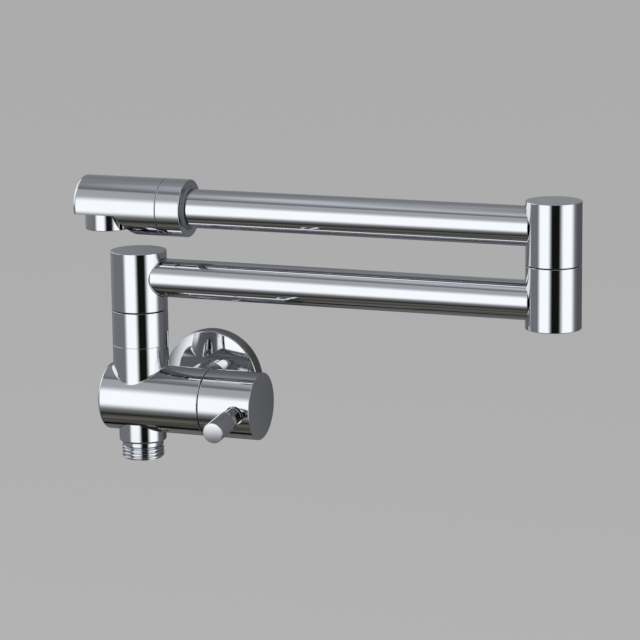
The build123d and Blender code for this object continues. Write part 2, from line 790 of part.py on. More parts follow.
spout_rings = rubber_rings(
    upper_arm_plane,
    nose_ring_lows,
    ring_groove_width,
    nose_groove_radius,
    nose_radius + running_clearance / 2,
)
keep(spout_rings, "spout_rings")

# ---------------------------------------------------------------- spout

collar_low = spout_seam + spout_seam_gap
collar_high = collar_low + collar_length
head_bore_low = end_flange_low - running_clearance
nose_bore_low = nose_low - edge_break
gallery_radius = gallery_diameter / 2
gallery_z = gallery_radius + gallery_floor - spout_flat_depth
aerator_radius = aerator_diameter / 2
aerator_thread_radius = aerator_thread_diameter / 2
socket_height = aerator_thread_length + seal_thickness
passage_radius = passage_diameter / 2
passage_z = socket_height - spout_flat_depth + bore_margin + passage_radius
chamber_height = socket_height + passage_diameter + 2 * bore_margin
aerator_place = aerator_inset - spout_overhang
flat_end = spout_flat_length - spout_overhang
cut_end = flat_end + 2 * spout_radius / tan(radians(spout_cut_angle))
aerator_plane = Plane(origin=(riser_x + aerator_place, -wall_distance, upper_arm_z - spout_flat_depth))
side_plane = Plane(origin=(riser_x, -wall_distance, upper_arm_z), x_dir=(1, 0, 0), z_dir=(0, -1, 0))

# A bar with a rounded end. Its underside is cut away flat over the aerator, and a slanted face leads
# from the flat down to the round belly.
with BuildPart() as spout_head:
    with BuildSketch(upper_arm_plane.offset(-spout_overhang)):
        Circle(spout_radius)
    extrude(amount=spout_overhang + spout_seam)
    fillet(spout_head.edges().group_by(Axis.X)[0], spout_end_radius)
    with BuildSketch(side_plane):
        with BuildLine():
            Polyline(
                (-spout_overhang - edge_break, -spout_flat_depth),
                (flat_end, -spout_flat_depth),
                (cut_end, -spout_flat_depth - 2 * spout_radius),
                (-spout_overhang - edge_break, -spout_flat_depth - 2 * spout_radius),
                close=True,
            )
        make_face()
    extrude(amount=2 * spout_radius, both=True, mode=Mode.SUBTRACT)
    # Bores for the collar's thread with the arm's flange, and for the arm's nose
    with BuildSketch(upper_arm_plane.offset(head_bore_low)):
        Circle(collar_thread_radius + joint_clearance)
    extrude(amount=spout_seam - head_bore_low, mode=Mode.SUBTRACT)
    with BuildSketch(upper_arm_plane.offset(nose_bore_low)):
        Circle(nose_radius + running_clearance)
    extrude(amount=head_bore_low - nose_bore_low, mode=Mode.SUBTRACT)
    # A gallery rises from the nose's bore to a passage that runs over the aerator's socket
    with BuildSketch(upper_arm_plane.offset(nose_bore_low - gallery_length)):
        with Locations((0, gallery_z)):
            Circle(gallery_radius)
    extrude(amount=gallery_length, mode=Mode.SUBTRACT)
    with BuildSketch(upper_arm_plane.offset(aerator_place)):
        with Locations((0, passage_z)):
            Circle(passage_radius)
    extrude(amount=nose_bore_low - aerator_place, mode=Mode.SUBTRACT)
    # The aerator's socket, the chamber over it and the slanted face's relief round the housing
    with BuildSketch(aerator_plane.offset(-aerator_drop)):
        Circle(aerator_radius + aerator_relief)
    extrude(amount=aerator_drop, mode=Mode.SUBTRACT)
    with BuildSketch(aerator_plane):
        Circle(aerator_thread_radius + joint_clearance)
    extrude(amount=socket_height, mode=Mode.SUBTRACT)
    with BuildSketch(aerator_plane):
        Circle(chamber_diameter / 2)
    extrude(amount=chamber_height, mode=Mode.SUBTRACT)
keep(spout_head.part, "spout_head")

# The collar screws into the head behind the arm's flange, and its bush guides the tube.
with BuildPart() as spout_collar:
    with BuildSketch(upper_arm_plane.offset(collar_low)):
        Circle(spout_radius)
    extrude(amount=collar_length)
    chamfer(spout_collar.edges().filter_by(GeomType.CIRCLE), edge_break / 2)
    with BuildSketch(upper_arm_plane.offset(collar_thread_end)):
        Circle(collar_thread_radius)
    extrude(amount=collar_low - collar_thread_end)
    with BuildSketch(upper_arm_plane.offset(collar_thread_end)):
        Circle(guide_outer_radius + joint_clearance)
    extrude(amount=collar_high - collar_thread_end, mode=Mode.SUBTRACT)
keep(spout_collar.part, "spout_collar")

spout_bush = turned_ring(
    upper_arm_plane, collar_thread_end, collar_high + guide_proud, guide_outer_radius, guide_inner_radius
)
keep(spout_bush, "spout_bush")

# ---------------------------------------------------------------- aerator

aerator_bore_radius = aerator_bore / 2
core_radius = aerator_bore_radius - joint_clearance
core_low = aerator_lip_height - aerator_drop
core_high = aerator_thread_length - screen_thickness
cell_pitch = cell_across_flats + cell_web
cell_reach = aerator_bore_radius - aerator_lip - cell_margin
cell_rows = 2 * int(cell_reach / cell_pitch) + 3

with BuildPart() as aerator_housing:
    with BuildSketch(aerator_plane.offset(-aerator_drop)):
        Circle(aerator_radius)
    extrude(amount=aerator_drop - aerator_gap)
    chamfer(aerator_housing.edges().group_by(Axis.Z)[0], edge_break)
    with BuildSketch(aerator_plane.offset(-aerator_gap)):
        Circle(aerator_thread_radius)
    extrude(amount=aerator_thread_length + aerator_gap)
    with BuildSketch(aerator_plane.offset(core_low)):
        Circle(aerator_bore_radius)
    extrude(amount=aerator_thread_length - core_low, mode=Mode.SUBTRACT)
    with BuildSketch(aerator_plane.offset(-aerator_drop)):
        Circle(aerator_bore_radius - aerator_lip)
    extrude(amount=aerator_lip_height, mode=Mode.SUBTRACT)
keep(aerator_housing.part, "aerator_housing")

# The core is a honeycomb: hexagonal cells wherever a whole one fits inside the lip.
with BuildPart() as aerator_core:
    with BuildSketch(aerator_plane.offset(core_low)):
        Circle(core_radius)
        pattern = HexLocations(cell_pitch / 2, cell_rows, cell_rows)
        cells = [spot for spot in pattern.local_locations if spot.position.length < cell_reach]
        with Locations(*cells):
            RegularPolygon(cell_across_flats / 2, 6, major_radius=False, mode=Mode.SUBTRACT)
    extrude(amount=core_high - core_low)
keep(aerator_core.part, "aerator_core")

# The screen is a rim with bars across it, which end in the middle of the rim.
screen_mid_radius = core_radius - screen_rim / 2
screen_side_rows = int(screen_mid_radius / screen_pitch)

with BuildPart() as aerator_screen:
    with BuildSketch(aerator_plane.offset(core_high)):
        Circle(core_radius)
        Circle(core_radius - screen_rim, mode=Mode.SUBTRACT)
        for row in range(-screen_side_rows, screen_side_rows + 1):
            with Locations((0, row * screen_pitch)):
                Rectangle(2 * sqrt(screen_mid_radius**2 - (row * screen_pitch) ** 2), screen_bar)
    extrude(amount=screen_thickness)
keep(aerator_screen.part, "aerator_screen")

aerator_seal = turned_ring(
    aerator_plane, aerator_thread_length, socket_height, aerator_thread_radius, seal_bore / 2
)
keep(aerator_seal, "aerator_seal")
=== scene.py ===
"""The looks of the wall mounted pot filler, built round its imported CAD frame. Metres, +Z up, -Y to the user."""

import json
from math import degrees, radians, tan

import bpy
import numpy as np
from mathutils import Matrix


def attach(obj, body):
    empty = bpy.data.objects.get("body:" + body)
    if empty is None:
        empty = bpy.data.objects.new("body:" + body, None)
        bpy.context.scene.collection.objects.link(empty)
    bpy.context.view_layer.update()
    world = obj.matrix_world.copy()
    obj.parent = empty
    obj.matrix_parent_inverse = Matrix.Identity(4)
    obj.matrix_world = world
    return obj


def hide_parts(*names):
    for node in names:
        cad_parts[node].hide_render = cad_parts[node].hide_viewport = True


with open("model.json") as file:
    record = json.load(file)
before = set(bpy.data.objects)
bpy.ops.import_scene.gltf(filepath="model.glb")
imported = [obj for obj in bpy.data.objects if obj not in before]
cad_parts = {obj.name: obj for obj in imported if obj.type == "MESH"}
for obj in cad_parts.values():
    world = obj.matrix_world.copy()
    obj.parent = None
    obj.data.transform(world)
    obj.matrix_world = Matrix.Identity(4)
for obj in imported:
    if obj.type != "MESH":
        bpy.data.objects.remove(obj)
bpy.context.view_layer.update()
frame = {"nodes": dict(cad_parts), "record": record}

# ---------------------------------------------------------------- sizes in millimetres, shared by several pieces

MM = 0.001
RISER_X, KNUCKLE_X, TAP_Y = -18.0, 195.0, -52.0
LOWER_ARM_Z, UPPER_ARM_Z = 61.5, 96.8
ARM_RADIUS, ARM_BORE = 9.5, 8.3
RISER_RADIUS, KNUCKLE_RADIUS, BODY_RADIUS, SPOUT_RADIUS = 13.9, 13.3, 16.7, 14.198
RISER_TOP, RING_TOP, SHOULDER_BOTTOM, SHOULDER_TOP = 27.5, 44.8, 45.3, 74.6
KNUCKLE_BOTTOM, KNUCKLE_SEAM, KNUCKLE_UPPER, KNUCKLE_TOP = 48.8, 79.0, 79.35, 109.4
BODY_LEFT, BODY_RIGHT, HUB_LOW, HUB_HIGH = -16.7, 36.7, 37.1, 64.3
THREAD_RADIUS, THREAD_PITCH, THREAD_DEPTH = 10.4775, 1.814, 1.162

X, Y, Z = np.eye(3)


def unit(vectors):
    """Vectors divided by their lengths."""
    return vectors / np.maximum(np.linalg.norm(vectors, axis=-1, keepdims=True), 1e-12)


def swept(first, last, share):
    """Unit vectors turned from the first to the last by shares of the angle between them."""
    angle = np.arccos(np.clip((first * last).sum(-1), -1, 1))[..., None]
    return (np.sin((1 - share) * angle) * first + np.sin(share * angle) * last) / np.sin(angle)


# ---------------------------------------------------------------- materials


def finish(name, metallic, base, other, roughness, rougher, scale, bump):
    """A finish whose colour, roughness and fine relief all vary with soft noise in the object's own metres."""
    material = bpy.data.materials.new(name)
    material.use_nodes = True
    nodes, links = material.node_tree.nodes, material.node_tree.links
    shader = nodes["Principled BSDF"]
    shader.inputs["Metallic"].default_value = metallic
    place = nodes.new("ShaderNodeTexCoord")
    broad, fine = nodes.new("ShaderNodeTexNoise"), nodes.new("ShaderNodeTexNoise")
    for noise, times, detail in ((broad, 1, 4), (fine, 14, 3)):
        noise.inputs["Scale"].default_value = scale * times
        noise.inputs["Detail"].default_value = detail
        links.new(place.outputs["Object"], noise.inputs["Vector"])
    colour = nodes.new("ShaderNodeMix")
    colour.data_type = "RGBA"
    colour.inputs[6].default_value = (*base, 1)
    colour.inputs[7].default_value = (*other, 1)
    gloss = nodes.new("ShaderNodeMapRange")
    for socket, value in (("From Min", 0.35), ("From Max", 0.7), ("To Min", roughness), ("To Max", rougher)):
        gloss.inputs[socket].default_value = value
    relief = nodes.new("ShaderNodeBump")
    relief.inputs["Strength"].default_value = bump
    relief.inputs["Distance"].default_value = 0.0002
    links.new(broad.outputs["Fac"], colour.inputs[0])
    links.new(colour.outputs[2], shader.inputs["Base Color"])
    links.new(broad.outputs["Fac"], gloss.inputs["Value"])
    links.new(gloss.outputs[0], shader.inputs["Roughness"])
    links.new(fine.outputs["Fac"], relief.inputs["Height"])
    links.new(relief.outputs[0], shader.inputs["Normal"])
    return material


FINISHES = {
    "chrome": finish("polished_chrome", 1, (0.84, 0.85, 0.87), (0.80, 0.815, 0.84), 0.035, 0.075, 38, 0.012),
    "bare_brass": finish("turned_brass", 1, (0.72, 0.50, 0.22), (0.60, 0.40, 0.17), 0.22, 0.34, 90, 0.15),
    "stainless": finish("spring_steel", 1, (0.58, 0.58, 0.57), (0.48, 0.48, 0.48), 0.2, 0.32, 120, 0.12),
    "black_rubber": finish("seal_rubber", 0, (0.022, 0.022, 0.023), (0.035, 0.034, 0.033), 0.55, 0.7, 160, 0.3),
    "ceramic": finish("ground_ceramic", 0, (0.82, 0.79, 0.73), (0.76, 0.74, 0.69), 0.16, 0.26, 110, 0.05),
    "dark_plastic": finish("bearing_plastic", 0, (0.045, 0.045, 0.047), (0.03, 0.03, 0.032), 0.4, 0.52, 140, 0.2),
    "grey_plastic": finish("moulded_grey_plastic", 0, (0.21, 0.21, 0.25), (0.18, 0.18, 0.21), 0.3, 0.42, 120, 0.03),
}
slot_of = {part["node"]: part["material_slot"] for part in frame["record"]["subparts"]}
for node, thing in frame["nodes"].items():
    thing.data.materials.clear()
    thing.data.materials.append(FINISHES[slot_of[node]])

# ---------------------------------------------------------------- surfaces


class Piece:
    """Collects grids of points with their outward normals and makes one closed mesh of them."""

    def __init__(self, name):
        self.name = name
        self.points, self.faces, self.normals, self.count = [], [], [], 0

    def grid(self, points, normals):
        """A grid of quads between points[i, j] and its neighbours. Each quad is wound so that it looks along its
        normals, which also become its shading normals, so that a mirror finish shows no facets."""
        points = np.asarray(points, float)
        normals = unit(np.broadcast_to(np.asarray(normals, float), points.shape))
        rows, cols = points.shape[:2]
        index = np.arange(rows * cols).reshape(rows, cols)
        quads = np.stack([index[:-1, :-1], index[1:, :-1], index[1:, 1:], index[:-1, 1:]], -1).reshape(-1, 4)
        flat, flat_normals = points.reshape(-1, 3), normals.reshape(-1, 3)
        a, b, c, d = (flat[quads[:, k]] for k in range(4))
        facing = (np.cross(c - a, d - b) * flat_normals[quads].mean(1)).sum()
        if facing < 0:
            quads = quads[:, ::-1]
        self.points.append(flat)
        self.faces.append(quads + self.count)
        self.normals.append(flat_normals[quads])
        self.count += len(flat)

    def mesh(self, body, slot, node):
        """Welds the grids where their points meet, drops collapsed faces and puts the mesh in the CAD node's place."""
        points = np.concatenate(self.points)
        faces = np.concatenate(self.faces)
        normals = np.concatenate(self.normals)
        _, first, weld = np.unique(np.round(points, 4), axis=0, return_index=True, return_inverse=True)
        points, faces = points[first], weld.reshape(-1)[faces]
        repeated = faces == np.roll(faces, 1, axis=1)
        whole = repeated.sum(1) == 0
        pole = repeated.sum(1) == 1
        loops = np.concatenate([faces[whole].reshape(-1), faces[pole][~repeated[pole]]])
        loop_normals = np.concatenate([normals[whole].reshape(-1, 3), normals[pole][~repeated[pole]]])
        sizes = np.concatenate([np.full(whole.sum(), 4), np.full(pole.sum(), 3)])
        mesh = bpy.data.meshes.new(self.name)
        mesh.vertices.add(len(points))
        mesh.vertices.foreach_set("co", (points * MM).reshape(-1))
        mesh.loops.add(len(loops))
        mesh.loops.foreach_set("vertex_index", loops.astype(np.int32))
        mesh.polygons.add(len(sizes))
        mesh.polygons.foreach_set("loop_start", np.concatenate([[0], np.cumsum(sizes)[:-1]]).astype(np.int32))
        mesh.update(calc_edges=True)
        mesh.validate()
        mesh.polygons.foreach_set("use_smooth", np.ones(len(mesh.polygons), bool))
        if len(mesh.loops) == len(loop_normals):
            mesh.normals_split_custom_set(loop_normals.tolist())
        mesh.materials.append(FINISHES[slot])
        thing = bpy.data.objects.new(self.name, mesh)
        bpy.context.scene.collection.objects.link(thing)
        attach(thing, body)
        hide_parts(node)


def outline(corners, rounding, closed=True):
    """The profile of a turned piece as short runs of (along, radius) points with their outward normals.
    corners are (along, radius), with the material on the right hand of the way through them, or in either order when
    they close; each is replaced by an arc of its rounding, tangent to both its sides, and the runs between are
    straight."""
    corners = np.array(corners, float)
    count = len(corners)
    rounding = np.broadcast_to(rounding, count)
    if closed and (corners[:, 0] * (np.roll(corners[:, 1], -1) - np.roll(corners[:, 1], 1))).sum() > 0:
        corners, rounding = corners[::-1], rounding[::-1]
    back = unit(np.roll(corners, 1, 0) - corners)
    ahead = unit(np.roll(corners, -1, 0) - corners)
    ends = []
    runs = []
    for k in range(count):
        if rounding[k] == 0 or (not closed and k in (0, count - 1)):
            ends.append((corners[k], corners[k]))
            continue
        half = np.arccos(np.clip(back[k] @ ahead[k], -1, 1)) / 2
        reach = rounding[k] / np.tan(half)
        start, end = corners[k] + back[k] * reach, corners[k] + ahead[k] * reach
        centre = corners[k] + unit(back[k] + ahead[k]) * rounding[k] / np.sin(half)
        spread = swept(unit(start - centre), unit(end - centre), np.linspace(0, 1, 7)[:, None])
        bend = back[k][0] * ahead[k][1] - back[k][1] * ahead[k][0]
        runs.append((centre + rounding[k] * spread, spread * np.sign(bend)))
        ends.append((start, end))
    for k in range(count if closed else count - 1):
        start, end = ends[k][1], ends[(k + 1) % count][0]
        step = end - start
        if np.linalg.norm(step) < 1e-6:
            continue
        normal = unit(np.array([-step[1], step[0]]))
        runs.append((np.linspace(start, end, 3), np.tile(normal, (3, 1))))
    return runs


def full_turn(around):
    """Angles of a whole turn whose last one is its first."""
    angle = np.linspace(0, 2 * np.pi, around + 1)
    angle[-1] = 0
    return angle


def spun(piece, origin, axis, side, points, normals, angle):
    """A surface of revolution: every profile point (along, radius) is carried round the axis, to
    origin + along * axis + radius * (cos(angle) * side + sin(angle) * across)."""
    spin = np.cos(angle)[:, None] * side + np.sin(angle)[:, None] * np.cross(axis, side)
    along, radius = points[:, 0], points[:, 1]
    place = origin + along[:, None, None] * axis + radius[:, None, None] * spin[None]
    out = normals[:, 0, None, None] * axis + normals[:, 1, None, None] * spin[None]
    piece.grid(place, out)


def turned(piece, origin, axis, side, corners, rounding, closed=True, around=160, angle=None):
    """A turned surface: the rounded outline of the corners, spun round the axis."""
    for points, normals in outline(corners, rounding, closed):
        spun(piece, origin, axis, side, points, normals, full_turn(around) if angle is None else angle)


def holed_wall(piece, centre, axis, toward, radius, hole, low, high, floor, lip=0.3, spread=np.pi, around=240,
               bowed=False):
    """A cylinder wall with a round hole that enters it square to its axis. The wall is unrolled, and straight lines
    run on it from the hole's edge to the border of the sheet, which reaches the spread angle to either side; a whole
    turn's two sides meet behind the cylinder. A sixteenth of the turn before and after each side's middle is a corner,
    and the border's points are evenly spaced between its corners. The hole's edge is rounded by a ball of the lip's
    radius that rolls inside both walls, and the hole's own wall goes down to a flat floor, or to a bowed one: a
    cylinder of the floor's radius round the same axis. Returns the angles of the border's points at the low end and
    at the high end, for the rings that close them."""
    across = np.cross(axis, toward)
    angle = full_turn(around)
    c, s = np.cos(angle), np.sin(angle)
    hole_y, hole_z = hole * c, hole * s

    def way(x, y, z):
        return x[..., None] * toward + y[..., None] * across + z[..., None] * axis

    def place(x, y, z):
        return centre + way(x, y, z)

    ball_y, ball_z = (hole + lip) * c, (hole + lip) * s
    ball_x = np.sqrt((radius - lip) ** 2 - ball_y**2)
    rim_turn = np.arctan2(ball_y, ball_x)
    corners = around / 16 * np.array([-1, 1, 7, 9, 15, 17])
    edge_turn = np.interp(np.arange(around + 1), corners, spread * np.array([1, 1, -1, -1, 1, 1]))
    edge_z = np.interp(np.arange(around + 1), corners, [low, high, high, low, low, high])
    # The rows are closer together on the first part of the way from the hole
    near = 0.08
    step = np.concatenate([np.linspace(0, near, 5)[:-1], np.linspace(near, 1, 42)])[:, None]
    turn = rim_turn + (edge_turn - rim_turn) * step
    z = ball_z + (edge_z - ball_z) * step
    piece.grid(place(radius * np.cos(turn), radius * np.sin(turn), z), way(np.cos(turn), np.sin(turn), 0 * z))
    # The rounded lip, from the outside to the hole's wall
    outer = np.stack([ball_x, ball_y, 0 * c], -1) / (radius - lip)
    out = swept(outer, np.stack([0 * c, -c, -s], -1), np.linspace(0, 1, 7)[:, None, None])
    lipped = np.stack([ball_x, ball_y, ball_z], -1) + lip * out
    piece.grid(place(*np.moveaxis(lipped, -1, 0)), way(*np.moveaxis(out, -1, 0)))
    # The hole's wall and its floor
    t = np.linspace(0, 1, 3)[:, None]
    floor_x = np.sqrt(floor**2 - hole_y**2) if bowed else floor
    piece.grid(place(ball_x + (floor_x - ball_x) * t, hole_y + 0 * t, hole_z + 0 * t), way(0 * c, -c, -s))
    if bowed:
        t = np.sin(np.linspace(1, 0, 15) * np.arcsin(hole / floor))[:, None] * floor / hole
        floor_x = np.sqrt(floor**2 - (hole_y * t) ** 2)
        piece.grid(place(floor_x, hole_y * t, hole_z * t), way(floor_x, hole_y * t, 0 * floor_x))
    else:
        t = 1 - t
        piece.grid(place(floor + 0 * c * t, hole_y * t, hole_z * t), toward)
    return np.sort(edge_turn[np.abs(edge_z - low) < 1e-6]), np.sort(edge_turn[np.abs(edge_z - high) < 1e-6])


def saddled_post(piece, centre, axis, toward, barrel, radius, fillet, end, rounding, around=200):
    """A round post that grows out of a barrel, square to the barrel's axis. Its foot is a hollow fillet: a ball of the
    fillet's radius rolls along the corner, its centre on both surfaces grown by that radius, and touches each of them.
    The corners of its end are (along, radius) with their rounding, from the wall inwards.
    Under the barrel's skin the foot closes on a point of the post's axis."""
    across = np.cross(axis, toward)
    angle = full_turn(around)
    c, s = np.cos(angle), np.sin(angle)
    foot_depth = 1.4

    def way(p):
        return p[..., :1] * toward + p[..., 1:2] * across + p[..., 2:] * axis

    def place(p):
        return centre + way(p)

    ball_y = (radius + fillet) * s
    ball = np.stack([np.sqrt((barrel + fillet) ** 2 - ball_y**2), ball_y, (radius + fillet) * c], -1)
    on_post = -np.stack([0 * c, s, c], -1)
    on_barrel = -unit(ball * np.array([1, 1, 0]))
    out = swept(on_post, on_barrel, np.linspace(0, 1, 9)[:, None, None])
    piece.grid(place(ball + fillet * out), way(-out))
    foot = ball + fillet * on_barrel
    middle = np.broadcast_to(np.array([foot[:, 0].min() - foot_depth, 0, 0]), foot.shape)
    piece.grid(place(np.stack([foot, middle])), -toward)
    start = ball + fillet * on_post
    wall_top = end[0][0] - rounding[0]
    rim = np.stack([0 * c + wall_top, radius * s, radius * c], -1)
    t = np.linspace(0, 1, 5)[:, None, None]
    piece.grid(place(start + (rim - start) * t), way(-on_post))
    for points, normals in outline([(wall_top, radius)] + end, [0] + rounding, closed=False):
        flat = 0 * points[:, :1] + 0 * s
        ring = np.stack([points[:, :1] + flat, points[:, 1:] * s, points[:, 1:] * c], -1)
        piece.grid(place(ring), way(np.stack([normals[:, :1] + flat, normals[:, 1:] * s, normals[:, 1:] * c], -1)))


def eased(t):
    """A smooth rise from 0 to 1 while t goes from 0 to 1."""
    t = np.clip(t, 0, 1)
    return t**2 * (3 - 2 * t)


def threaded_wall(piece, origin, axis, side, length, run_in, run_out, around=180, per_turn=20):
    """A pipe thread: the radius falls from the crest by the depth times the fourth power of a wave of
    (along / pitch - angle / full turn), which makes the groove narrower than the crest, and the wave fades out over
    the run at either end. Returns the radius at the start and at the end."""
    rows = int(length / THREAD_PITCH * per_turn) + 1
    along = np.linspace(0, length, rows)[:, None]
    angle = np.linspace(0, 2 * np.pi, around + 1)[None]
    phase = along / THREAD_PITCH - angle / (2 * np.pi)
    groove = (0.5 - 0.5 * np.cos(2 * np.pi * phase)) ** 4
    fade = eased(along / run_in) * eased((length - along) / run_out)
    faded_depth = 0.9
    radius = THREAD_RADIUS - THREAD_DEPTH * (groove * fade + (1 - fade) * faded_depth)
    radius[:, -1] = radius[:, 0]
    angle = full_turn(around)[None]
    spin = np.cos(angle)[..., None] * side + np.sin(angle)[..., None] * np.cross(axis, side)
    points = origin + along[..., None] * axis + radius[..., None] * spin
    lengthwise = np.gradient(points, axis=0)
    crosswise = np.gradient(np.concatenate([points[:, -2:-1], points, points[:, 1:2]], 1), axis=1)[:, 1:-1]
    normals = unit(np.cross(lengthwise, crosswise))
    normals *= np.sign((normals * spin).sum(-1, keepdims=True))
    piece.grid(points, normals)
    return radius[0, 0], radius[-1, 0]


# ---------------------------------------------------------------- wall flange and nipple

flange_centre = np.zeros(3)
FLANGE_RADIUS, FLANGE_BORE, FLANGE_HEIGHT, RIM, DOME, SHOULDER_ARC, TURN_OVER = 26.0, 9.05, 9.8, 0.9, 190.0, 70.0, 19.0
# The front's profile is three arcs that touch: a flat dome, which would meet the bore at the flange's full height, a
# rounder shoulder, and the rim. The dome starts a little outside the bore, where the bore's rounded edge ends.
face_start = FLANGE_BORE + 0.35
first_slope = np.arcsin(TURN_OVER / DOME)
dome_middle = np.array([np.sqrt(DOME**2 - FLANGE_BORE**2) - FLANGE_HEIGHT, 0.0])
shoulder_middle = dome_middle + (DOME - SHOULDER_ARC) * np.array([-np.cos(first_slope), np.sin(first_slope)])
last_slope = np.arcsin((FLANGE_RADIUS - RIM - shoulder_middle[1]) / (SHOULDER_ARC - RIM))
rim_middle = shoulder_middle + (SHOULDER_ARC - RIM) * np.array([-np.cos(last_slope), np.sin(last_slope)])
flange = Piece("flange_cover")
for middle, bend, low_slope, high_slope, steps in (
        (dome_middle, DOME, np.arcsin(face_start / DOME), first_slope, 13),
        (shoulder_middle, SHOULDER_ARC, first_slope, last_slope, 9),
        (rim_middle, RIM, last_slope, np.pi / 2, 9)):
    slope = np.linspace(low_slope, high_slope, steps)
    slope_way = np.stack([-np.cos(slope), np.sin(slope)], -1)
    spun(flange, flange_centre, Y, X, middle + bend * slope_way, slope_way, full_turn(200))
crown = dome_middle[0] - np.sqrt(DOME**2 - face_start**2)
# The rim, the hollow inside and the boss round the bore, with its groove for the rubber ring
RIM_INSIDE, BOSS_FACE, BOSS_RADIUS, SEAL_GROOVE_FROM, SEAL_GROOVE_TO, SEAL_GROOVE_FLOOR = (
    24.7, -6.1, 12.5, -6.95, -8.95, 10.25)
turned(flange, flange_centre, Y, X,
       [(rim_middle[0], FLANGE_RADIUS), (0, FLANGE_RADIUS), (0, RIM_INSIDE), (-1.4, RIM_INSIDE), (-5.2, 22.6),
        (-7.4, 19.0), (-8.2, BOSS_RADIUS), (BOSS_FACE, BOSS_RADIUS), (BOSS_FACE, FLANGE_BORE),
        (SEAL_GROOVE_FROM, FLANGE_BORE), (SEAL_GROOVE_FROM, SEAL_GROOVE_FLOOR), (SEAL_GROOVE_TO, SEAL_GROOVE_FLOOR),
        (SEAL_GROOVE_TO, FLANGE_BORE), (-FLANGE_HEIGHT, FLANGE_BORE), (crown, face_start)],
       [0, 0.2, 0.1, 1.5, 2.5, 4, 0.3, 0.1, 0.1, 0.05, 0.05, 0.05, 0.05, 0.2, 0], closed=False, around=200)
flange.mesh("valve", "chrome", "wall_flange")

NIPPLE_THREAD_LOW, NIPPLE_THREAD, NIPPLE_HIGH, NIPPLE_LOW = 0.3, 13.7, 14.0, -14.4
NIPPLE_BORE, NIPPLE_TAIL = 5.0, 6.6
HEXAGON_LOW, HEXAGON_RADIUS, HEXAGON_BORE, FACE_RADIUS, FACE_SLOPE = -5.4, 12.0, 10.4, 11.75, 1.7
nipple = Piece("wall_nipple")
start, end = threaded_wall(nipple, flange_centre + NIPPLE_THREAD_LOW * Y, Y, X, NIPPLE_THREAD, run_in=1.2, run_out=1.6)
turned(nipple, flange_centre, Y, X, [(0, HEXAGON_BORE), (0, start), (NIPPLE_THREAD_LOW, start)], [0, 0.1, 0],
       closed=False, around=180)
turned(nipple, flange_centre, Y, X,
       [(NIPPLE_HIGH, end), (NIPPLE_HIGH, NIPPLE_BORE), (NIPPLE_LOW, NIPPLE_BORE), (NIPPLE_LOW, NIPPLE_TAIL),
        (HEXAGON_LOW, NIPPLE_TAIL), (HEXAGON_LOW, HEXAGON_BORE)], [0, 0.3, 0.2, 0.3, 0.1, 0], closed=False, around=180)
# The hexagon: its radius is that of its flats over the cosine of the angle from the nearest flat's middle, cut at
# both faces by a cone that grows by its slope away from the face
hexagon_angle = full_turn(180)
flat_radius = HEXAGON_RADIUS / np.cos((hexagon_angle + np.pi / 6) % (np.pi / 3) - np.pi / 6)
hexagon_along = np.array([HEXAGON_LOW, -5.1, -4.9, -4.7, -2.7, -0.7, -0.5, -0.3, 0.0])
cone_radius = FACE_RADIUS + FACE_SLOPE * np.minimum(hexagon_along - HEXAGON_LOW, -hexagon_along)
hexagon_radius = np.minimum(flat_radius[None], cone_radius[:, None])
hexagon_spin = np.cos(hexagon_angle)[:, None] * X + np.sin(hexagon_angle)[:, None] * np.cross(Y, X)
sides = hexagon_along[:, None, None] * Y + hexagon_radius[..., None] * hexagon_spin
nipple.grid(sides, hexagon_spin)
for row, along, facing in ((0, HEXAGON_LOW, -Y), (-1, 0.0, Y)):
    nipple.grid(np.stack([sides[row], along * Y + HEXAGON_BORE * hexagon_spin]), facing)
nipple.mesh("valve", "bare_brass", "inlet_nipple")

# ---------------------------------------------------------------- valve body and lower outlet

COLLAR_RECESS, RECESS_FLOOR, END_EDGE, HUB_SEAM_EDGE = 11.95, 7.5, 1.2, 0.4
BAY_RADIUS, BAY_FLOOR = 11.0, 12.3
NECK_COLLAR, NECK_RADIUS, NECK_COLLAR_END, NECK_END, NECK_BORE, NECK_FLOOR = 10.5, 9.0, 42.1, 45.6, 6.65, 41.6
body_origin = np.array([RISER_X, TAP_Y, 0.0])
body = Piece("barrel_and_riser")
low_turn, high_turn = holed_wall(body, body_origin, X, -Z, BODY_RADIUS, COLLAR_RECESS, BODY_LEFT + END_EDGE,
                                 BODY_RIGHT - HUB_SEAM_EDGE, RECESS_FLOOR, lip=0.25)
turned(body, body_origin, X, -Z, [(BODY_LEFT, 0), (BODY_LEFT, BODY_RADIUS), (BODY_LEFT + END_EDGE, BODY_RADIUS)],
       [0, END_EDGE, 0], closed=False, angle=low_turn)
turned(body, body_origin, X, -Z,
       [(BODY_RIGHT - HUB_SEAM_EDGE, BODY_RADIUS), (BODY_RIGHT, BODY_RADIUS), (BODY_RIGHT, BAY_RADIUS),
        (BAY_FLOOR, BAY_RADIUS), (BAY_FLOOR, 0)], [0, HUB_SEAM_EDGE, 0.2, 0, 0], closed=False, angle=high_turn)
saddled_post(body, body_origin, X, Z, BODY_RADIUS, RISER_RADIUS, 0.9, [(RISER_TOP, RISER_RADIUS), (RISER_TOP, 0)],
             [0.2, 0])
# The neck has a thicker part as far as the flange
saddled_post(body, TAP_Y * Y, X, Y, BODY_RADIUS, NECK_COLLAR, 0.6,
             [(NECK_COLLAR_END, NECK_COLLAR), (NECK_COLLAR_END, NECK_RADIUS), (NECK_END, NECK_RADIUS),
              (NECK_END, NECK_BORE), (NECK_FLOOR, NECK_BORE), (NECK_FLOOR, 0)], [0.3, 0.1, 0.2, 0.2, 0, 0])
body.mesh("valve", "chrome", "valve_body")

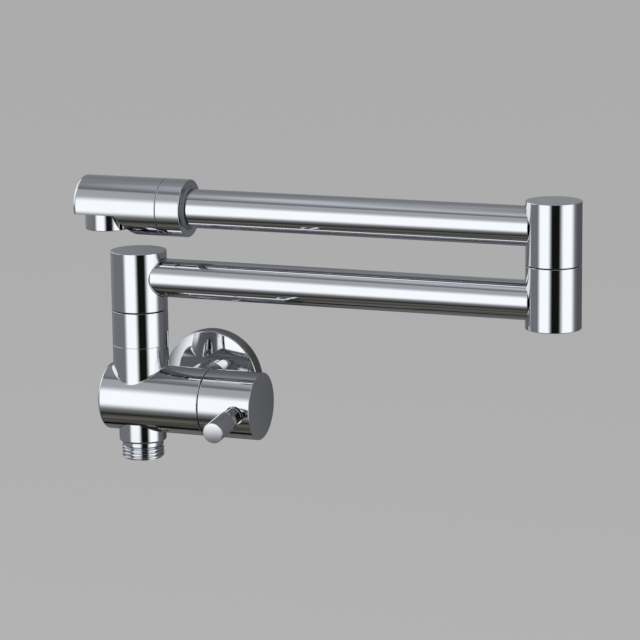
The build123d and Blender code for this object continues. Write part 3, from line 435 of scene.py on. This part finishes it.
THREAD_START, THREAD_LENGTH, OUTLET_END, OUTLET_MOUTH, OUTLET_BORE = 23.6, 6.8, 30.4, 7.0, 5.0
PLUG_TOP, PLUG_RADIUS, COLLAR_TOP, COLLAR_LOW, COLLAR_RADIUS, RELIEF = 7.7, 8.0, 11.8, 21.7, 11.8, 10.25
outlet = Piece("hose_outlet")
start, end = threaded_wall(outlet, body_origin - THREAD_START * Z, -Z, X, THREAD_LENGTH, run_in=0.7, run_out=0.9)
turned(outlet, body_origin, -Z, X,
       [(OUTLET_END, end), (OUTLET_END, OUTLET_MOUTH), (BODY_RADIUS, OUTLET_MOUTH), (BODY_RADIUS, OUTLET_BORE),
        (PLUG_TOP, OUTLET_BORE), (PLUG_TOP, PLUG_RADIUS), (COLLAR_TOP, PLUG_RADIUS), (COLLAR_TOP, COLLAR_RADIUS),
        (COLLAR_LOW, COLLAR_RADIUS), (COLLAR_LOW, RELIEF), (THREAD_START, RELIEF), (THREAD_START, start)],
       [0, 0.25, 0.2, 0.2, 0.2, 0.2, 0, 0.1, 1.2, 0.1, 0.05, 0], closed=False, around=180)
outlet.mesh("valve", "chrome", "outlet_spigot")

# ---------------------------------------------------------------- handle

LEVER_X, LEVER_HOLE, LEVER_HOLE_FLOOR, SCREW_X, SCREW_HOLE, SCREW_HOLE_FLOOR = 56.5, 4.55, 14.0, 47.0, 2.53, 4.0
HUB_CAVITY, HUB_CAVITY_RADIUS, HUB_END_EDGE = 43.5, 12.5, 0.3
hub = Piece("lever_hub")
droop = radians(5.6)
lever_way = np.array([0, -np.cos(droop), -np.sin(droop)])
lever_foot = body_origin + X * LEVER_X
low_edge, high_edge = HUB_LOW + HUB_SEAM_EDGE, HUB_HIGH - HUB_END_EDGE
# Two half sheets: the lever's hole is in the front one and the grub screw's in the rear one
front = holed_wall(hub, lever_foot, X, lever_way, BODY_RADIUS, LEVER_HOLE, low_edge - LEVER_X, high_edge - LEVER_X,
                   LEVER_HOLE_FLOOR, lip=0.2, spread=np.pi / 2, around=160)
rear = holed_wall(hub, body_origin + X * SCREW_X, X, -lever_way, BODY_RADIUS, SCREW_HOLE, low_edge - SCREW_X,
                  high_edge - SCREW_X, SCREW_HOLE_FLOOR, spread=np.pi / 2, around=160)
hub_low, hub_high = (np.concatenate([front[k], rear[k][1:] + np.pi]) for k in range(2))
turned(hub, body_origin, X, lever_way, [(high_edge, BODY_RADIUS), (HUB_HIGH, BODY_RADIUS), (HUB_HIGH, 0)],
       [0, HUB_END_EDGE, 0], closed=False, angle=hub_high)
turned(hub, body_origin, X, lever_way,
       [(HUB_CAVITY, 0), (HUB_CAVITY, HUB_CAVITY_RADIUS), (HUB_LOW, HUB_CAVITY_RADIUS), (HUB_LOW, BODY_RADIUS),
        (low_edge, BODY_RADIUS)], [0, 0.2, 0.2, HUB_SEAM_EDGE, 0], closed=False, angle=hub_low)
hub.mesh("handle", "chrome", "handle_hub")

LEVER_START, NECK_HIGH, GROOVE_LOW, GROOVE_HIGH, LEVER_END = 8.0, 24.7, 26.7, 27.3, 43.199
LEVER_RADIUS, LEVER_NECK, GROOVE_RADIUS = 5.1, 4.1, 4.7
lever = Piece("lever_rod")
# The rod's end is a very shallow dome
tip_radius = np.linspace(0, GROOVE_RADIUS, 13)
tip_ball = 55.0
tip_middle = LEVER_END - tip_ball
tip = np.stack([tip_middle + np.sqrt(tip_ball**2 - tip_radius**2), tip_radius], -1)
spun(lever, lever_foot, lever_way, X, tip, (tip - [tip_middle, 0]) / tip_ball, full_turn(96))
turned(lever, lever_foot, lever_way, X,
       [(LEVER_START, 0), (LEVER_START, LEVER_NECK), (NECK_HIGH, LEVER_NECK), (NECK_HIGH, LEVER_RADIUS),
        (GROOVE_LOW, LEVER_RADIUS), (GROOVE_LOW, GROOVE_RADIUS), (GROOVE_HIGH, GROOVE_RADIUS),
        (GROOVE_HIGH, LEVER_RADIUS), (tip[-1, 0] - 0.02, LEVER_RADIUS), (tip[-1, 0], GROOVE_RADIUS)],
       [0, 0.3, 0.15, 0.35, 0.15, 0.1, 0.1, 0.15, 0.35, 0], closed=False, around=96)
lever.mesh("handle", "chrome", "handle_lever")

# ---------------------------------------------------------------- shoulder, knuckle and arms

RING_BORE, RING_THREAD, RING_LOW = 8.05, 11.0, 18.0
ring = Piece("shoulder_bearing")
turned(ring, body_origin, Z, X,
       [(RISER_TOP, RISER_RADIUS), (RING_TOP, RISER_RADIUS), (RING_TOP, RING_BORE), (RING_LOW, RING_BORE),
        (RING_LOW, RING_THREAD), (RISER_TOP, RING_THREAD)], [0.15, 0.2, 0.2, 0.1, 0.3, 0.22])
ring.mesh("valve", "chrome", "shoulder_ring")

# An arm's tube ends this far from a head's axis, just short of the floor of its hole, with this gap round it. The upper
# tube's left end reaches through the nut into the spout's socket.
TUBE_END, TUBE_STOP, TUBE_GAP, UPPER_TUBE_LEFT = 9.9, 9.8, 0.12, 8.95
SPIGOT_SOCKET, SPIGOT_DEPTH = 8.03, 8.6
# A bore for the bush and, below it, a chamber in which the spigot's clip turns
BUSH_BORE, BUSH_DEPTH, CLIP_CHAMBER, CHAMBER_DEPTH = 11.03, 7.6, 9.6, 9.8


def tube_head(name, axis_x, low, high, arm_z, radius, toward, open_low, low_edge, high_edge, body_name, node):
    """A post head with a rounded hole that the arm's tube enters. Either its low end is bored for the spigot and its
    high end closed, or its high end is bored for the bush and its low end closed."""
    head = Piece(name)
    origin = np.array([axis_x, TAP_Y, 0.0])
    low_turn, high_turn = holed_wall(head, origin + arm_z * Z, Z, toward, radius, ARM_RADIUS + TUBE_GAP,
                                     low + low_edge - arm_z, high - high_edge - arm_z, TUBE_STOP, bowed=True)
    bottom, bottom_rounding = [(low, 0)], [0]
    top, top_rounding = [(high, 0)], [0]
    if open_low:
        bottom = [(low + SPIGOT_DEPTH, 0), (low + SPIGOT_DEPTH, SPIGOT_SOCKET), (low, SPIGOT_SOCKET)]
        bottom_rounding = [0, 0, 0.2]
    else:
        top = [(high, BUSH_BORE), (high - BUSH_DEPTH, BUSH_BORE), (high - BUSH_DEPTH, CLIP_CHAMBER),
               (high - CHAMBER_DEPTH, CLIP_CHAMBER), (high - CHAMBER_DEPTH, 0)]
        top_rounding = [0.1, 0, 0, 0, 0]
    turned(head, origin, Z, toward, bottom + [(low, radius), (low + low_edge, radius)],
           bottom_rounding + [low_edge, 0], closed=False, angle=low_turn)
    turned(head, origin, Z, toward, [(high - high_edge, radius), (high, radius)] + top,
           [0, high_edge] + top_rounding, closed=False, angle=high_turn)
    head.mesh(body_name, "chrome", node)


tube_head("shoulder_post", RISER_X, SHOULDER_BOTTOM, SHOULDER_TOP, LOWER_ARM_Z, RISER_RADIUS, X, True, 0.3, 0.35,
          "lower_arm", "shoulder_head")
tube_head("knuckle_lower_half", KNUCKLE_X, KNUCKLE_BOTTOM, KNUCKLE_SEAM, LOWER_ARM_Z, KNUCKLE_RADIUS, -X, False, 0.4,
          0.3, "lower_arm", "knuckle_lower")
tube_head("knuckle_upper_half", KNUCKLE_X, KNUCKLE_UPPER, KNUCKLE_TOP, UPPER_ARM_Z, KNUCKLE_RADIUS, -X, True, 0.3, 0.4,
          "upper_arm", "knuckle_upper")

for name, z, left, body_name in (("lower_tube", LOWER_ARM_Z, TUBE_END, "lower_arm"),
                                 ("upper_tube", UPPER_ARM_Z, UPPER_TUBE_LEFT, "upper_arm")):
    tube, right = Piece(name), KNUCKLE_X - RISER_X - TUBE_END
    turned(tube, np.array([RISER_X, TAP_Y, z]), X, Z,
           [(left, ARM_BORE), (right, ARM_BORE), (right, ARM_RADIUS), (left, ARM_RADIUS)], 0.2, around=200)
    tube.mesh(body_name, "chrome", body_name + "_tube")

# ---------------------------------------------------------------- spout

SPOUT_LEFT, SPOUT_SEAM, END_ROUNDING, SEAM_EDGE = -28.8, 15.4, 2.0, 0.35
# The underside is flat as far as FLAT_END and then slopes down to the round skin
FLAT_Z, FLAT_END, CUT_ANGLE = -3.5, -6.75, radians(51.5)
SLOPE = tan(CUT_ANGLE)
spout_origin = np.array([RISER_X, TAP_Y, UPPER_ARM_Z])
head = Piece("spout_body")
cut_end = FLAT_END + (SPOUT_RADIUS + FLAT_Z) / SLOPE
t = np.linspace(-1, 1, 161)


def spout_skin(x, radius, lean):
    """Rows of the spout's round skin at places x with their radii, from one edge of the cut over the top to the other
    edge; lean is the angle between the normal and the plane square to the axis."""
    radius, lean = np.broadcast_to(radius, x.shape), np.broadcast_to(lean, x.shape)
    cut = np.where(x <= FLAT_END, FLAT_Z, FLAT_Z - (x - FLAT_END) * SLOPE)
    angle = np.arccos(np.clip(cut / radius, -1, 1))[:, None] * t
    ring = np.stack([0 * angle, -np.sin(angle), np.cos(angle)], -1)
    points = spout_origin + x[:, None, None] * X + radius[:, None, None] * ring
    head.grid(points, ring * np.cos(lean)[:, None, None] + np.sin(lean)[:, None, None] * -X)
    return points


end_turn = np.linspace(np.pi / 2, 0, 9)
rounded_end = spout_skin(SPOUT_LEFT + END_ROUNDING - END_ROUNDING * np.sin(end_turn),
                         SPOUT_RADIUS - END_ROUNDING + END_ROUNDING * np.cos(end_turn), end_turn)
flat_skin = spout_skin(np.linspace(SPOUT_LEFT + END_ROUNDING, FLAT_END, 9), SPOUT_RADIUS, 0)
slope_skin = spout_skin(FLAT_END + (cut_end - FLAT_END) * np.sin(np.linspace(0, np.pi / 2, 33)), SPOUT_RADIUS, 0)
spout_skin(np.linspace(cut_end, SPOUT_SEAM - SEAM_EDGE, 5), SPOUT_RADIUS, 0)
across = ((t + 1) / 2)[None, :, None]
slope_way = -X * np.sin(CUT_ANGLE) - Z * np.cos(CUT_ANGLE)
for skin, facing in ((rounded_end, -Z), (flat_skin, -Z), (slope_skin, slope_way)):
    head.grid(skin[:, :1] + (skin[:, -1:] - skin[:, :1]) * across, facing)
end_arc = rounded_end[:1]
head.grid(np.concatenate([end_arc, end_arc[:, :1] + (end_arc[:, -1:] - end_arc[:, :1]) * across]), -X)
NUT_SOCKET, NUT_SOCKET_FLOOR = 12.33, SPOUT_SEAM - 8
turned(head, spout_origin, X, -Z,
       [(SPOUT_SEAM - SEAM_EDGE, SPOUT_RADIUS), (SPOUT_SEAM, SPOUT_RADIUS), (SPOUT_SEAM, NUT_SOCKET),
        (NUT_SOCKET_FLOOR, NUT_SOCKET), (NUT_SOCKET_FLOOR, 0)], [0, SEAM_EDGE, 0.1, 0, 0], closed=False)
head.mesh("spout", "chrome", "spout_head")

NUT_LOW, NUT_SHOULDER, NUT_HIGH, NUT_BORE, NUT_THREAD = 9.0, 15.6, 28.1, 10.48, 12.3
collar = Piece("spout_nut")
turned(collar, spout_origin, X, Z,
       [(NUT_LOW, NUT_BORE), (NUT_HIGH, NUT_BORE), (NUT_HIGH, SPOUT_RADIUS), (NUT_SHOULDER, SPOUT_RADIUS),
        (NUT_SHOULDER, NUT_THREAD), (NUT_LOW, NUT_THREAD)], [0.1, 0.25, 0.35, 0.35, 0.05, 0.2])
collar.mesh("spout", "chrome", "spout_collar")

# The bush has a wide chamfer where it shows between the nut and the arm
BUSH_HIGH, BUSH_CHAMFER_LOW, GUIDE_BORE, BUSH_FACE, BUSH_RADIUS = 29.2, 28.2, 9.55, 10.0, 10.45
bush = Piece("guide_bush")
turned(bush, spout_origin, X, Z,
       [(NUT_LOW, GUIDE_BORE), (BUSH_HIGH, GUIDE_BORE), (BUSH_HIGH, BUSH_FACE), (BUSH_CHAMFER_LOW, BUSH_RADIUS),
        (NUT_LOW, BUSH_RADIUS)], [0.1, 0.2, 0.2, 0.2, 0.1])
bush.mesh("spout", "grey_plastic", "spout_bush")

# A threaded part inside the spout and a wider ring under its flat, with a lip round the mouth
AERATOR_X, AERATOR_THREAD, AERATOR_RING, AERATOR_BORE, AERATOR_MOUTH = -16.45, 9.2, 11.0, 7.9, 7.2
AERATOR_TOP, AERATOR_RING_TOP, LIP_TOP, AERATOR_LOW = 6.0, -0.2, -7.5, -8.5
aerator = Piece("aerator_ring")
turned(aerator, spout_origin + AERATOR_X * X + FLAT_Z * Z, Z, X,
       [(AERATOR_RING_TOP, AERATOR_RING), (AERATOR_RING_TOP, AERATOR_THREAD), (AERATOR_TOP, AERATOR_THREAD),
        (AERATOR_TOP, AERATOR_BORE), (LIP_TOP, AERATOR_BORE), (LIP_TOP, AERATOR_MOUTH), (AERATOR_LOW, AERATOR_MOUTH),
        (AERATOR_LOW, AERATOR_RING)], [0.2, 0.05, 0.2, 0.1, 0.05, 0.15, 0.25, 0.4])
aerator.mesh("spout", "chrome", "aerator_housing")

# ---------------------------------------------------------------- camera

azimuth, elevation, roll = radians(21.23), radians(11.67), radians(-0.69)
PICTURE, FOCAL_PIXELS, SENSOR = 640, 2779.6, 36
CAMERA_PLACE = (0.5548, -1.2800, 0.3174)
forward = np.array([-np.sin(azimuth) * np.cos(elevation), np.cos(azimuth) * np.cos(elevation), -np.sin(elevation)])
right = np.array([np.cos(azimuth), np.sin(azimuth), 0])
upward = np.cross(right, forward)
right, upward = np.cos(roll) * right + np.sin(roll) * upward, np.cos(roll) * upward - np.sin(roll) * right
camera_data = bpy.data.cameras.new("camera")
camera_data.sensor_width = SENSOR
camera_data.lens = FOCAL_PIXELS / PICTURE * SENSOR
camera_data.clip_end = 100
camera = bpy.data.objects.new("camera", camera_data)
bpy.context.scene.collection.objects.link(camera)
pose = np.eye(4)
pose[:3, 0], pose[:3, 1], pose[:3, 2], pose[:3, 3] = right, upward, -forward, CAMERA_PLACE
camera.matrix_world = Matrix(pose.tolist())
bpy.context.scene.camera = camera

# ---------------------------------------------------------------- floor, lamp and sky


def stage_piece(name, points, faces, material_name):
    """A piece of the stage with a new node material. Returns the piece and its material."""
    mesh = bpy.data.meshes.new(name)
    mesh.from_pydata(points, [], faces)
    thing = bpy.data.objects.new(name, mesh)
    bpy.context.scene.collection.objects.link(thing)
    material = bpy.data.materials.new(material_name)
    material.use_nodes = True
    mesh.materials.append(material)
    return thing, material


FLOOR_SIDE, FLOOR_Z = 30, -0.6
floor, floor_material = stage_piece(
    "floor", [(-FLOOR_SIDE, -FLOOR_SIDE, FLOOR_Z), (FLOOR_SIDE, -FLOOR_SIDE, FLOOR_Z),
              (FLOOR_SIDE, FLOOR_SIDE, FLOOR_Z), (-FLOOR_SIDE, FLOOR_SIDE, FLOOR_Z)], [(0, 1, 2, 3)], "pale_floor")
floor.visible_glossy = False
floor_shader = floor_material.node_tree.nodes["Principled BSDF"]
floor_shader.inputs["Base Color"].default_value = (0.66, 0.66, 0.66, 1)
floor_shader.inputs["Roughness"].default_value = 0.9
floor_shader.inputs["Specular IOR Level"].default_value = 0

lamp_data = bpy.data.lights.new("soft_lamp", "AREA")
lamp_data.shape, lamp_data.size, lamp_data.size_y, lamp_data.energy = "RECTANGLE", 1.6, 1.2, 14
lamp = bpy.data.objects.new("soft_lamp", lamp_data)
lamp.matrix_world = Matrix.Translation((-0.6, -1.6, 1.5)) @ Matrix.Rotation(radians(48), 4, "X")
lamp.visible_glossy = False
bpy.context.scene.collection.objects.link(lamp)

world = bpy.data.worlds.new("studio")
bpy.context.scene.world = world
world.use_nodes = True
world.node_tree.nodes["Background"].inputs[0].default_value = (0.62, 0.62, 0.625, 1)

# ---------------------------------------------------------------- what the chrome mirrors

STUDIO_LIGHT = 1.25
NEUTRAL, WARM, COOL = (1, 1, 1), (1.05, 0.99, 0.86), (0.96, 0.99, 1.06)


def mirrored_only(name, points, faces, material_name):
    """A glowing piece of the stage that only mirror rays see. Returns the nodes and links of its empty material."""
    thing, material = stage_piece(name, points, faces, material_name)
    thing.visible_camera = thing.visible_diffuse = thing.visible_transmission = False
    thing.visible_volume_scatter = thing.visible_shadow = False
    material.cycles.emission_sampling = "NONE"
    material.node_tree.nodes.clear()
    return material.node_tree.nodes, material.node_tree.links


def calc(operation, *values):
    """One Math node fed with numbers or other nodes' outputs."""
    node = nodes.new("ShaderNodeMath")
    node.operation = operation
    for socket, value in zip(node.inputs, values):
        if isinstance(value, (int, float)):
            socket.default_value = value
        else:
            links.new(value, socket)
    return node.outputs[0]


def rise(value, low, high):
    """A smooth step from 0 at low to 1 at high."""
    node = nodes.new("ShaderNodeMapRange")
    node.interpolation_type = "SMOOTHSTEP"
    links.new(value, node.inputs["Value"])
    node.inputs["From Min"].default_value, node.inputs["From Max"].default_value = low, high
    return node.outputs[0]


def window(value, low, low_full, high_full, high):
    """1 between the two inner angles, falling smoothly to 0 at the outer ones."""
    return calc("MULTIPLY", rise(value, low, low_full), calc("SUBTRACT", 1.0, rise(value, high_full, high)))


def light(grey, tint=NEUTRAL):
    """The light that the chrome, which mirrors 84 percent of it, shows as this grey of 0 to 255, with a tint."""
    level = ((grey / 255 + 0.055) / 1.055) ** 2.4 / 0.84 / STUDIO_LIGHT
    return (level * tint[0], level * tint[1], level * tint[2], 1)


def mixed(mask, below, above, blend="MIX"):
    """One colour where the mask is 0 and another, or their blend, where it is 1."""
    node = nodes.new("ShaderNodeMix")
    node.data_type, node.blend_type = "RGBA", blend
    links.new(mask, node.inputs[0])
    for socket, colour in ((node.inputs[6], below), (node.inputs[7], above)):
        if isinstance(colour, tuple):
            socket.default_value = colour
        else:
            links.new(colour, socket)
    return node.outputs[2]


def shades(value, stops, low=-90, high=90):
    """Light by a value between low and high: stops are (value, grey, tint), with smooth passages between them."""
    place = nodes.new("ShaderNodeMapRange")
    place.inputs["From Min"].default_value, place.inputs["From Max"].default_value = low, high
    links.new(value, place.inputs["Value"])
    ramp = nodes.new("ShaderNodeValToRGB")
    ramp.color_ramp.interpolation = "EASE"
    while len(ramp.color_ramp.elements) < len(stops):
        ramp.color_ramp.elements.new(0.5)
    for element, (at, grey, tint) in zip(ramp.color_ramp.elements, stops):
        element.position, element.color = (at - low) / (high - low), light(grey, tint)
    links.new(place.outputs[0], ramp.inputs["Fac"])
    return ramp.outputs["Color"]


def place_parts(middle=None):
    """The three coordinates of the place that a ray meets, or of its way from a middle, in metres."""
    place = nodes.new("ShaderNodeTexCoord").outputs["Object"]
    if middle is not None:
        shift = nodes.new("ShaderNodeVectorMath")
        shift.operation = "SUBTRACT"
        shift.inputs[1].default_value = middle
        links.new(place, shift.inputs[0])
        outward = nodes.new("ShaderNodeVectorMath")
        outward.operation = "NORMALIZE"
        links.new(shift.outputs[0], outward.inputs[0])
        place = outward.outputs[0]
    parts = nodes.new("ShaderNodeSeparateXYZ")
    links.new(place, parts.inputs[0])
    return parts.outputs["X"], parts.outputs["Y"], parts.outputs["Z"]


def glowing(colour, strength):
    """A light of a colour and a strength."""
    glow = nodes.new("ShaderNodeEmission")
    links.new(colour, glow.inputs["Color"])
    if isinstance(strength, float):
        glow.inputs["Strength"].default_value = strength
    else:
        links.new(strength, glow.inputs["Strength"])
    return glow.outputs[0]


def surface(shader):
    """The shader becomes the material's surface."""
    links.new(shader, nodes.new("ShaderNodeOutputMaterial").inputs["Surface"])


# The studio: a ball of 1.2 m round the tap. Its light depends on two angles in degrees seen from its middle: the turn,
# 0 towards the user and + towards the right, and the height.
STUDIO_RADIUS, STUDIO_MIDDLE, BALL_ROWS, BALL_COLUMNS = 1200.0, np.array([90.0, -50.0, 50.0]), 33, 65
rise_angle = np.linspace(-np.pi / 2, np.pi / 2, BALL_ROWS)[:, None]
turn_angle = np.linspace(0, 2 * np.pi, BALL_COLUMNS)
ball = np.stack([np.cos(rise_angle) * np.cos(turn_angle), np.cos(rise_angle) * np.sin(turn_angle),
                 np.sin(rise_angle) + 0 * turn_angle], -1)
ball_index = np.arange(BALL_ROWS * BALL_COLUMNS).reshape(BALL_ROWS, BALL_COLUMNS)
ball_quads = np.stack([ball_index[:-1, :-1], ball_index[:-1, 1:], ball_index[1:, 1:], ball_index[1:, :-1]], -1)
nodes, links = mirrored_only("studio_ball", ((STUDIO_MIDDLE + STUDIO_RADIUS * ball) * MM).reshape(-1, 3).tolist(),
                             ball_quads.reshape(-1, 4).tolist(), "studio_light")
to_right, to_back, to_top = place_parts(STUDIO_MIDDLE * MM)
turn = calc("MULTIPLY", calc("ARCTAN2", to_right, calc("MULTIPLY", to_back, -1.0)), degrees(1))
height = calc("MULTIPLY", calc("ARCSINE", to_top), degrees(1))
front_side = shades(height, [
    (-90, 60, WARM), (-76, 78, WARM), (-68, 90, WARM), (-64.5, 66, WARM), (-60, 66, WARM), (-57, 88, WARM),
    (-53, 84, WARM), (-49, 62, WARM), (-46.5, 34, NEUTRAL), (-43.5, 56, NEUTRAL), (-38, 88, NEUTRAL),
    (-32, 110, NEUTRAL), (-20, 110, COOL), (0, 108, COOL), (20, 112, COOL), (30, 150, COOL), (37, 160, COOL),
    (50, 158, COOL), (54, 102, NEUTRAL), (58, 118, COOL), (62, 150, COOL), (68, 182, COOL), (73, 160, COOL),
    (80, 135, COOL), (90, 122, COOL)])
rear_side = shades(height, [
    (-90, 62, WARM), (-70, 90, WARM), (-64, 66, WARM), (-58, 96, NEUTRAL), (-48, 100, NEUTRAL), (-30, 92, NEUTRAL),
    (-18, 104, NEUTRAL), (-8, 128, COOL), (10, 132, COOL), (30, 118, COOL), (45, 118, COOL), (60, 130, COOL),
    (67, 146, COOL), (76, 136, COOL), (90, 122, COOL)])
mirrored = mixed(rise(calc("ABSOLUTE", turn), 92, 126), front_side, rear_side)
# Painted shade: what a mirror shows of another mirror is darker, apart from the patches that follow
path = nodes.new("ShaderNodeLightPath")
mirrored = mixed(calc("GREATER_THAN", path.outputs["Ray Depth"], 1.5), mirrored, (0.34, 0.34, 0.36, 1), "MULTIPLY")
# A grey patch behind on the right, which is painted shade of the wall in the tap's shadow, a side light on the left, a
# dark line under it, the dark gap between the two softboxes, and the left and the right softbox
for turns, heights, shown in (
        ((100, 128, 181, 182), (-40, -20, 2, 14), light(80, COOL)),
        ((-134, -118, -70, -56), (-8, 6, 38, 52), light(242, COOL)),
        ((-121, -112, -100, -92), (-84, -78, -50, -44), light(8)),
        ((-12, -4, 60, 70), (-38, -31, 36, 40), light(18)),
        ((-50, -32, -3, 16), (-34, -14, 16, 37), light(250, (0.985, 1, 1.015))),
        ((40, 62, 88, 112), (-36, -22, 24, 40), light(251, (0.985, 1, 1.01)))):
    mirrored = mixed(calc("MULTIPLY", window(turn, *turns), window(height, *heights)), mirrored, shown)
# Fine streaks over the lower half
streaks = nodes.new("ShaderNodeTexNoise")
streaks.noise_dimensions = "1D"
streaks.inputs["Scale"].default_value = 1.0
streaks.inputs["Detail"].default_value = 2
links.new(calc("MULTIPLY", height, 0.62), streaks.inputs["W"])
streak = nodes.new("ShaderNodeMapRange")
streak.inputs["From Min"].default_value, streak.inputs["From Max"].default_value = 0.3, 0.7
streak.inputs["To Min"].default_value, streak.inputs["To Max"].default_value = 0.45, 1.45
links.new(streaks.outputs["Fac"], streak.inputs["Value"])
streak_light = calc("SUBTRACT", calc("MULTIPLY", streak.outputs[0], STUDIO_LIGHT), STUDIO_LIGHT)
lower_half = calc("SUBTRACT", 1.0, rise(height, -56, -44))
surface(glowing(mirrored, calc("ADD", STUDIO_LIGHT, calc("MULTIPLY", lower_half, streak_light))))

# A grey screen just in front of the plane of the flange's back, seen from its front: a painted reflection of the wall
# with the tap's painted shadow on it, darkest at the flange, and fading out away from it
SCREEN_Y, SCREEN_LEFT, SCREEN_RIGHT, SCREEN_LOW, SCREEN_HIGH = 0.0006, -0.18, 0.22, -0.21, 0.19
SCREEN_MIDDLE_X, SCREEN_MIDDLE_Z = 0.02, -0.01
nodes, links = mirrored_only(
    "painted_wall_shadow_screen", [(SCREEN_LEFT, SCREEN_Y, SCREEN_LOW), (SCREEN_RIGHT, SCREEN_Y, SCREEN_LOW),
                    (SCREEN_RIGHT, SCREEN_Y, SCREEN_HIGH), (SCREEN_LEFT, SCREEN_Y, SCREEN_HIGH)], [(0, 1, 2, 3)],
    "screen_light")
place_x, _, place_z = place_parts()
aside = calc("MULTIPLY", calc("SUBTRACT", place_x, SCREEN_MIDDLE_X), 1 / MM)
above = calc("MULTIPLY", calc("SUBTRACT", place_z, SCREEN_MIDDLE_Z), 1 / MM)
away = calc("SQRT", calc("ADD", calc("MULTIPLY", aside, aside), calc("MULTIPLY", above, above)))
# Painted shadow of the tap on the wall: darkest at the flange, lighter away from it
painted_wall_shadow = shades(away, [(0, 58, NEUTRAL), (26, 62, NEUTRAL), (34, 80, NEUTRAL), (60, 92, COOL), (100, 98, COOL),
                         (200, 104, COOL)], 0, 200)
clear = nodes.new("ShaderNodeBsdfTransparent")
side = nodes.new("ShaderNodeNewGeometry")
pick = nodes.new("ShaderNodeMixShader")
links.new(calc("MAXIMUM", side.outputs["Backfacing"], rise(away, 75, 150)), pick.inputs[0])
links.new(glowing(painted_wall_shadow, STUDIO_LIGHT), pick.inputs[1])
links.new(clear.outputs[0], pick.inputs[2])
surface(pick.outputs[0])

bpy.context.scene.view_settings.view_transform = "Standard"
